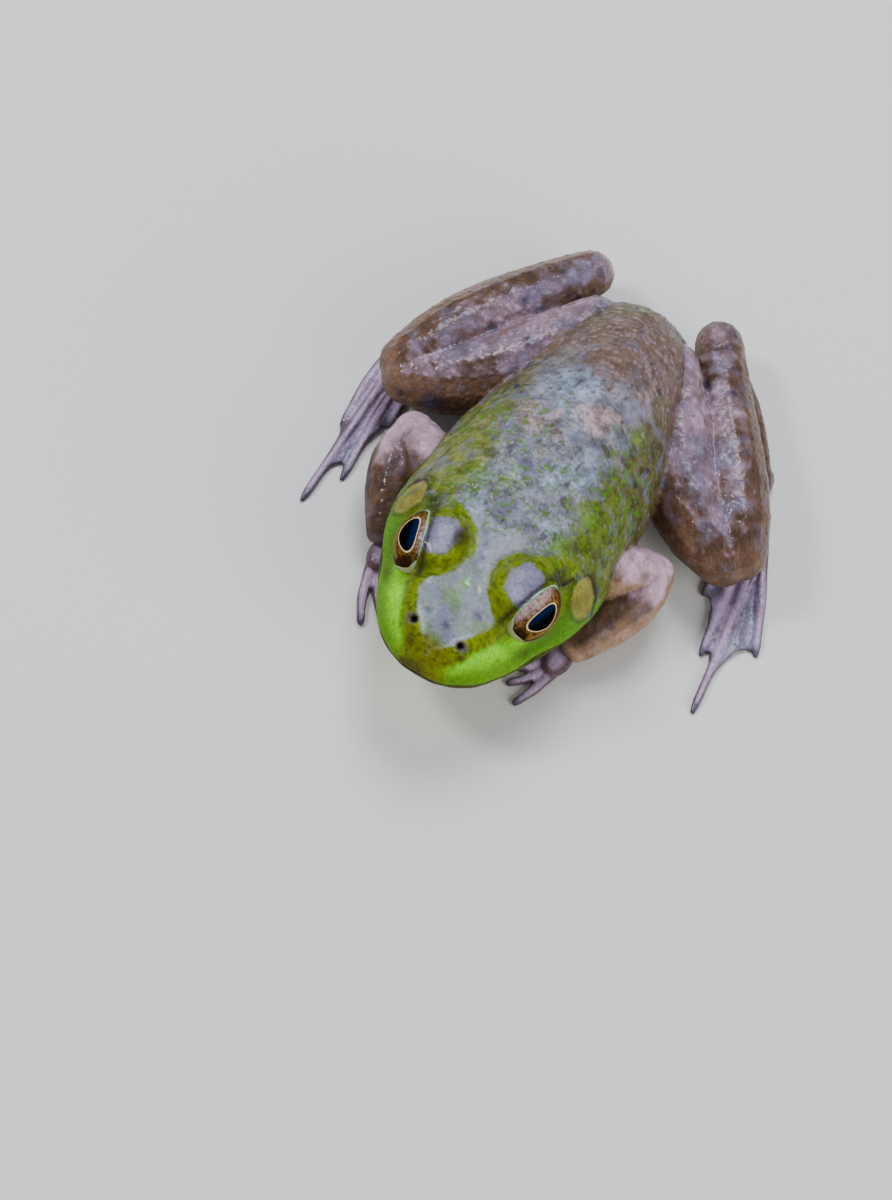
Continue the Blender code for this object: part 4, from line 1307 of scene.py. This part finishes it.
class FROG_OT_stage(bpy.types.Operator):
    """Add the floor, the lights and the camera"""

    bl_idname = "frog.stage"
    bl_label = "Stage"

    def execute(self, context):
        sizes, colours = context.scene.bullfrog_sizes, context.scene.bullfrog_colours
        deselect_all()
        bpy.ops.mesh.primitive_plane_add(size=sizes.floor_size)
        floor = bpy.context.object
        floor.name = "floor"
        floor.data.materials.append(plain_material("floor", colours.floor, 0.6))
        right, up, back = view_directions()
        self.camera(context, right, up, back)
        middle = Vector((0.0, 0.0, 0.01))
        key = middle + (back * 0.7 - right * 0.5 + up * 0.5) * 0.6
        sky = middle + Vector((-0.15, 0.35, 0.6))
        fill = middle + (right * 0.6 - up * 0.3 + back * 0.5) * 0.7
        area_light("key", key, middle, 0.13, 1.6, (1.0, 0.98, 0.95))  # side in metres, then watts
        area_light("sky", sky, middle, 0.32, 3.6, (0.90, 0.91, 1.0))
        area_light("fill", fill, middle, 0.4, 2.3, (1.0, 0.97, 0.92), glossy=False)
        world = bpy.data.worlds.new("soft room")
        context.scene.world = world
        world.use_nodes = True
        room = world.node_tree.nodes["Background"].inputs
        room["Color"].default_value = (0.80, 0.86, 1.0, 1.0)
        room["Strength"].default_value = 0.30
        return {"FINISHED"}

    def camera(self, context, right, up, back):
        data = bpy.data.cameras.new("camera")
        data.sensor_width = SENSOR
        data.sensor_fit = "AUTO"
        data.lens = SENSOR * VIEW_DISTANCE / VIEW_HEIGHT
        camera = new_object("camera", data)
        target = VIEW_MIDDLE - right * VIEW_RIGHT * MM - up * VIEW_UP * MM
        place = Matrix((right, up, back)).transposed().to_4x4()
        place.translation = target + back * VIEW_DISTANCE
        camera.matrix_world = place
        context.scene.camera = camera


def view_directions():
    """The view's right, up and back directions."""
    a, e, roll = VIEW_AZIMUTH, VIEW_ELEVATION, VIEW_ROLL
    back = Vector((math.sin(a) * math.cos(e), -math.cos(a) * math.cos(e), math.sin(e)))
    level = Vector((math.cos(a), math.sin(a), 0.0))
    upright = Vector((-math.sin(a) * math.sin(e), math.cos(a) * math.sin(e), math.cos(e)))
    right = math.cos(roll) * level + math.sin(roll) * upright
    return right, -math.sin(roll) * level + math.cos(roll) * upright, back


def area_light(name, place, target, size, watts, colour, glossy=True):
    data = bpy.data.lights.new(name, "AREA")
    data.size = size
    data.energy = watts
    data.color = colour
    light = new_object(name, data)
    light.location = place
    light.rotation_mode = "QUATERNION"
    light.rotation_quaternion = (target - place).to_track_quat("-Z", "Y")
    light.visible_glossy = glossy


class FROG_PT_panel(bpy.types.Panel):
    """Lists the steps that dress the frog"""

    bl_idname = "FROG_PT_panel"
    bl_label = "Bullfrog"
    bl_space_type = "VIEW_3D"
    bl_region_type = "UI"
    bl_category = "Bullfrog"

    def draw(self, context):
        for operator in OPERATORS:
            self.layout.operator(operator.bl_idname)
        for group in (context.scene.bullfrog_sizes, context.scene.bullfrog_colours):
            for name in group.bl_rna.properties.keys():
                if name not in ("rna_type", "name"):
                    self.layout.prop(group, name)


OPERATORS = (FROG_OT_skin, FROG_OT_eyes, FROG_OT_stage)
CLASSES = (BullfrogSizes, BullfrogColours, *OPERATORS, FROG_PT_panel)


def register():
    for kind in CLASSES:
        bpy.utils.register_class(kind)
    bpy.types.Scene.bullfrog_sizes = bpy.props.PointerProperty(type=BullfrogSizes)
    bpy.types.Scene.bullfrog_colours = bpy.props.PointerProperty(type=BullfrogColours)


def unregister():
    del bpy.types.Scene.bullfrog_colours
    del bpy.types.Scene.bullfrog_sizes
    for kind in reversed(CLASSES):
        bpy.utils.unregister_class(kind)


def main():
    register()
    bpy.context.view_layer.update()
    bpy.ops.frog.skin()
    bpy.ops.frog.eyes()
    bpy.ops.frog.stage()


if __name__ == "__main__":
    main()
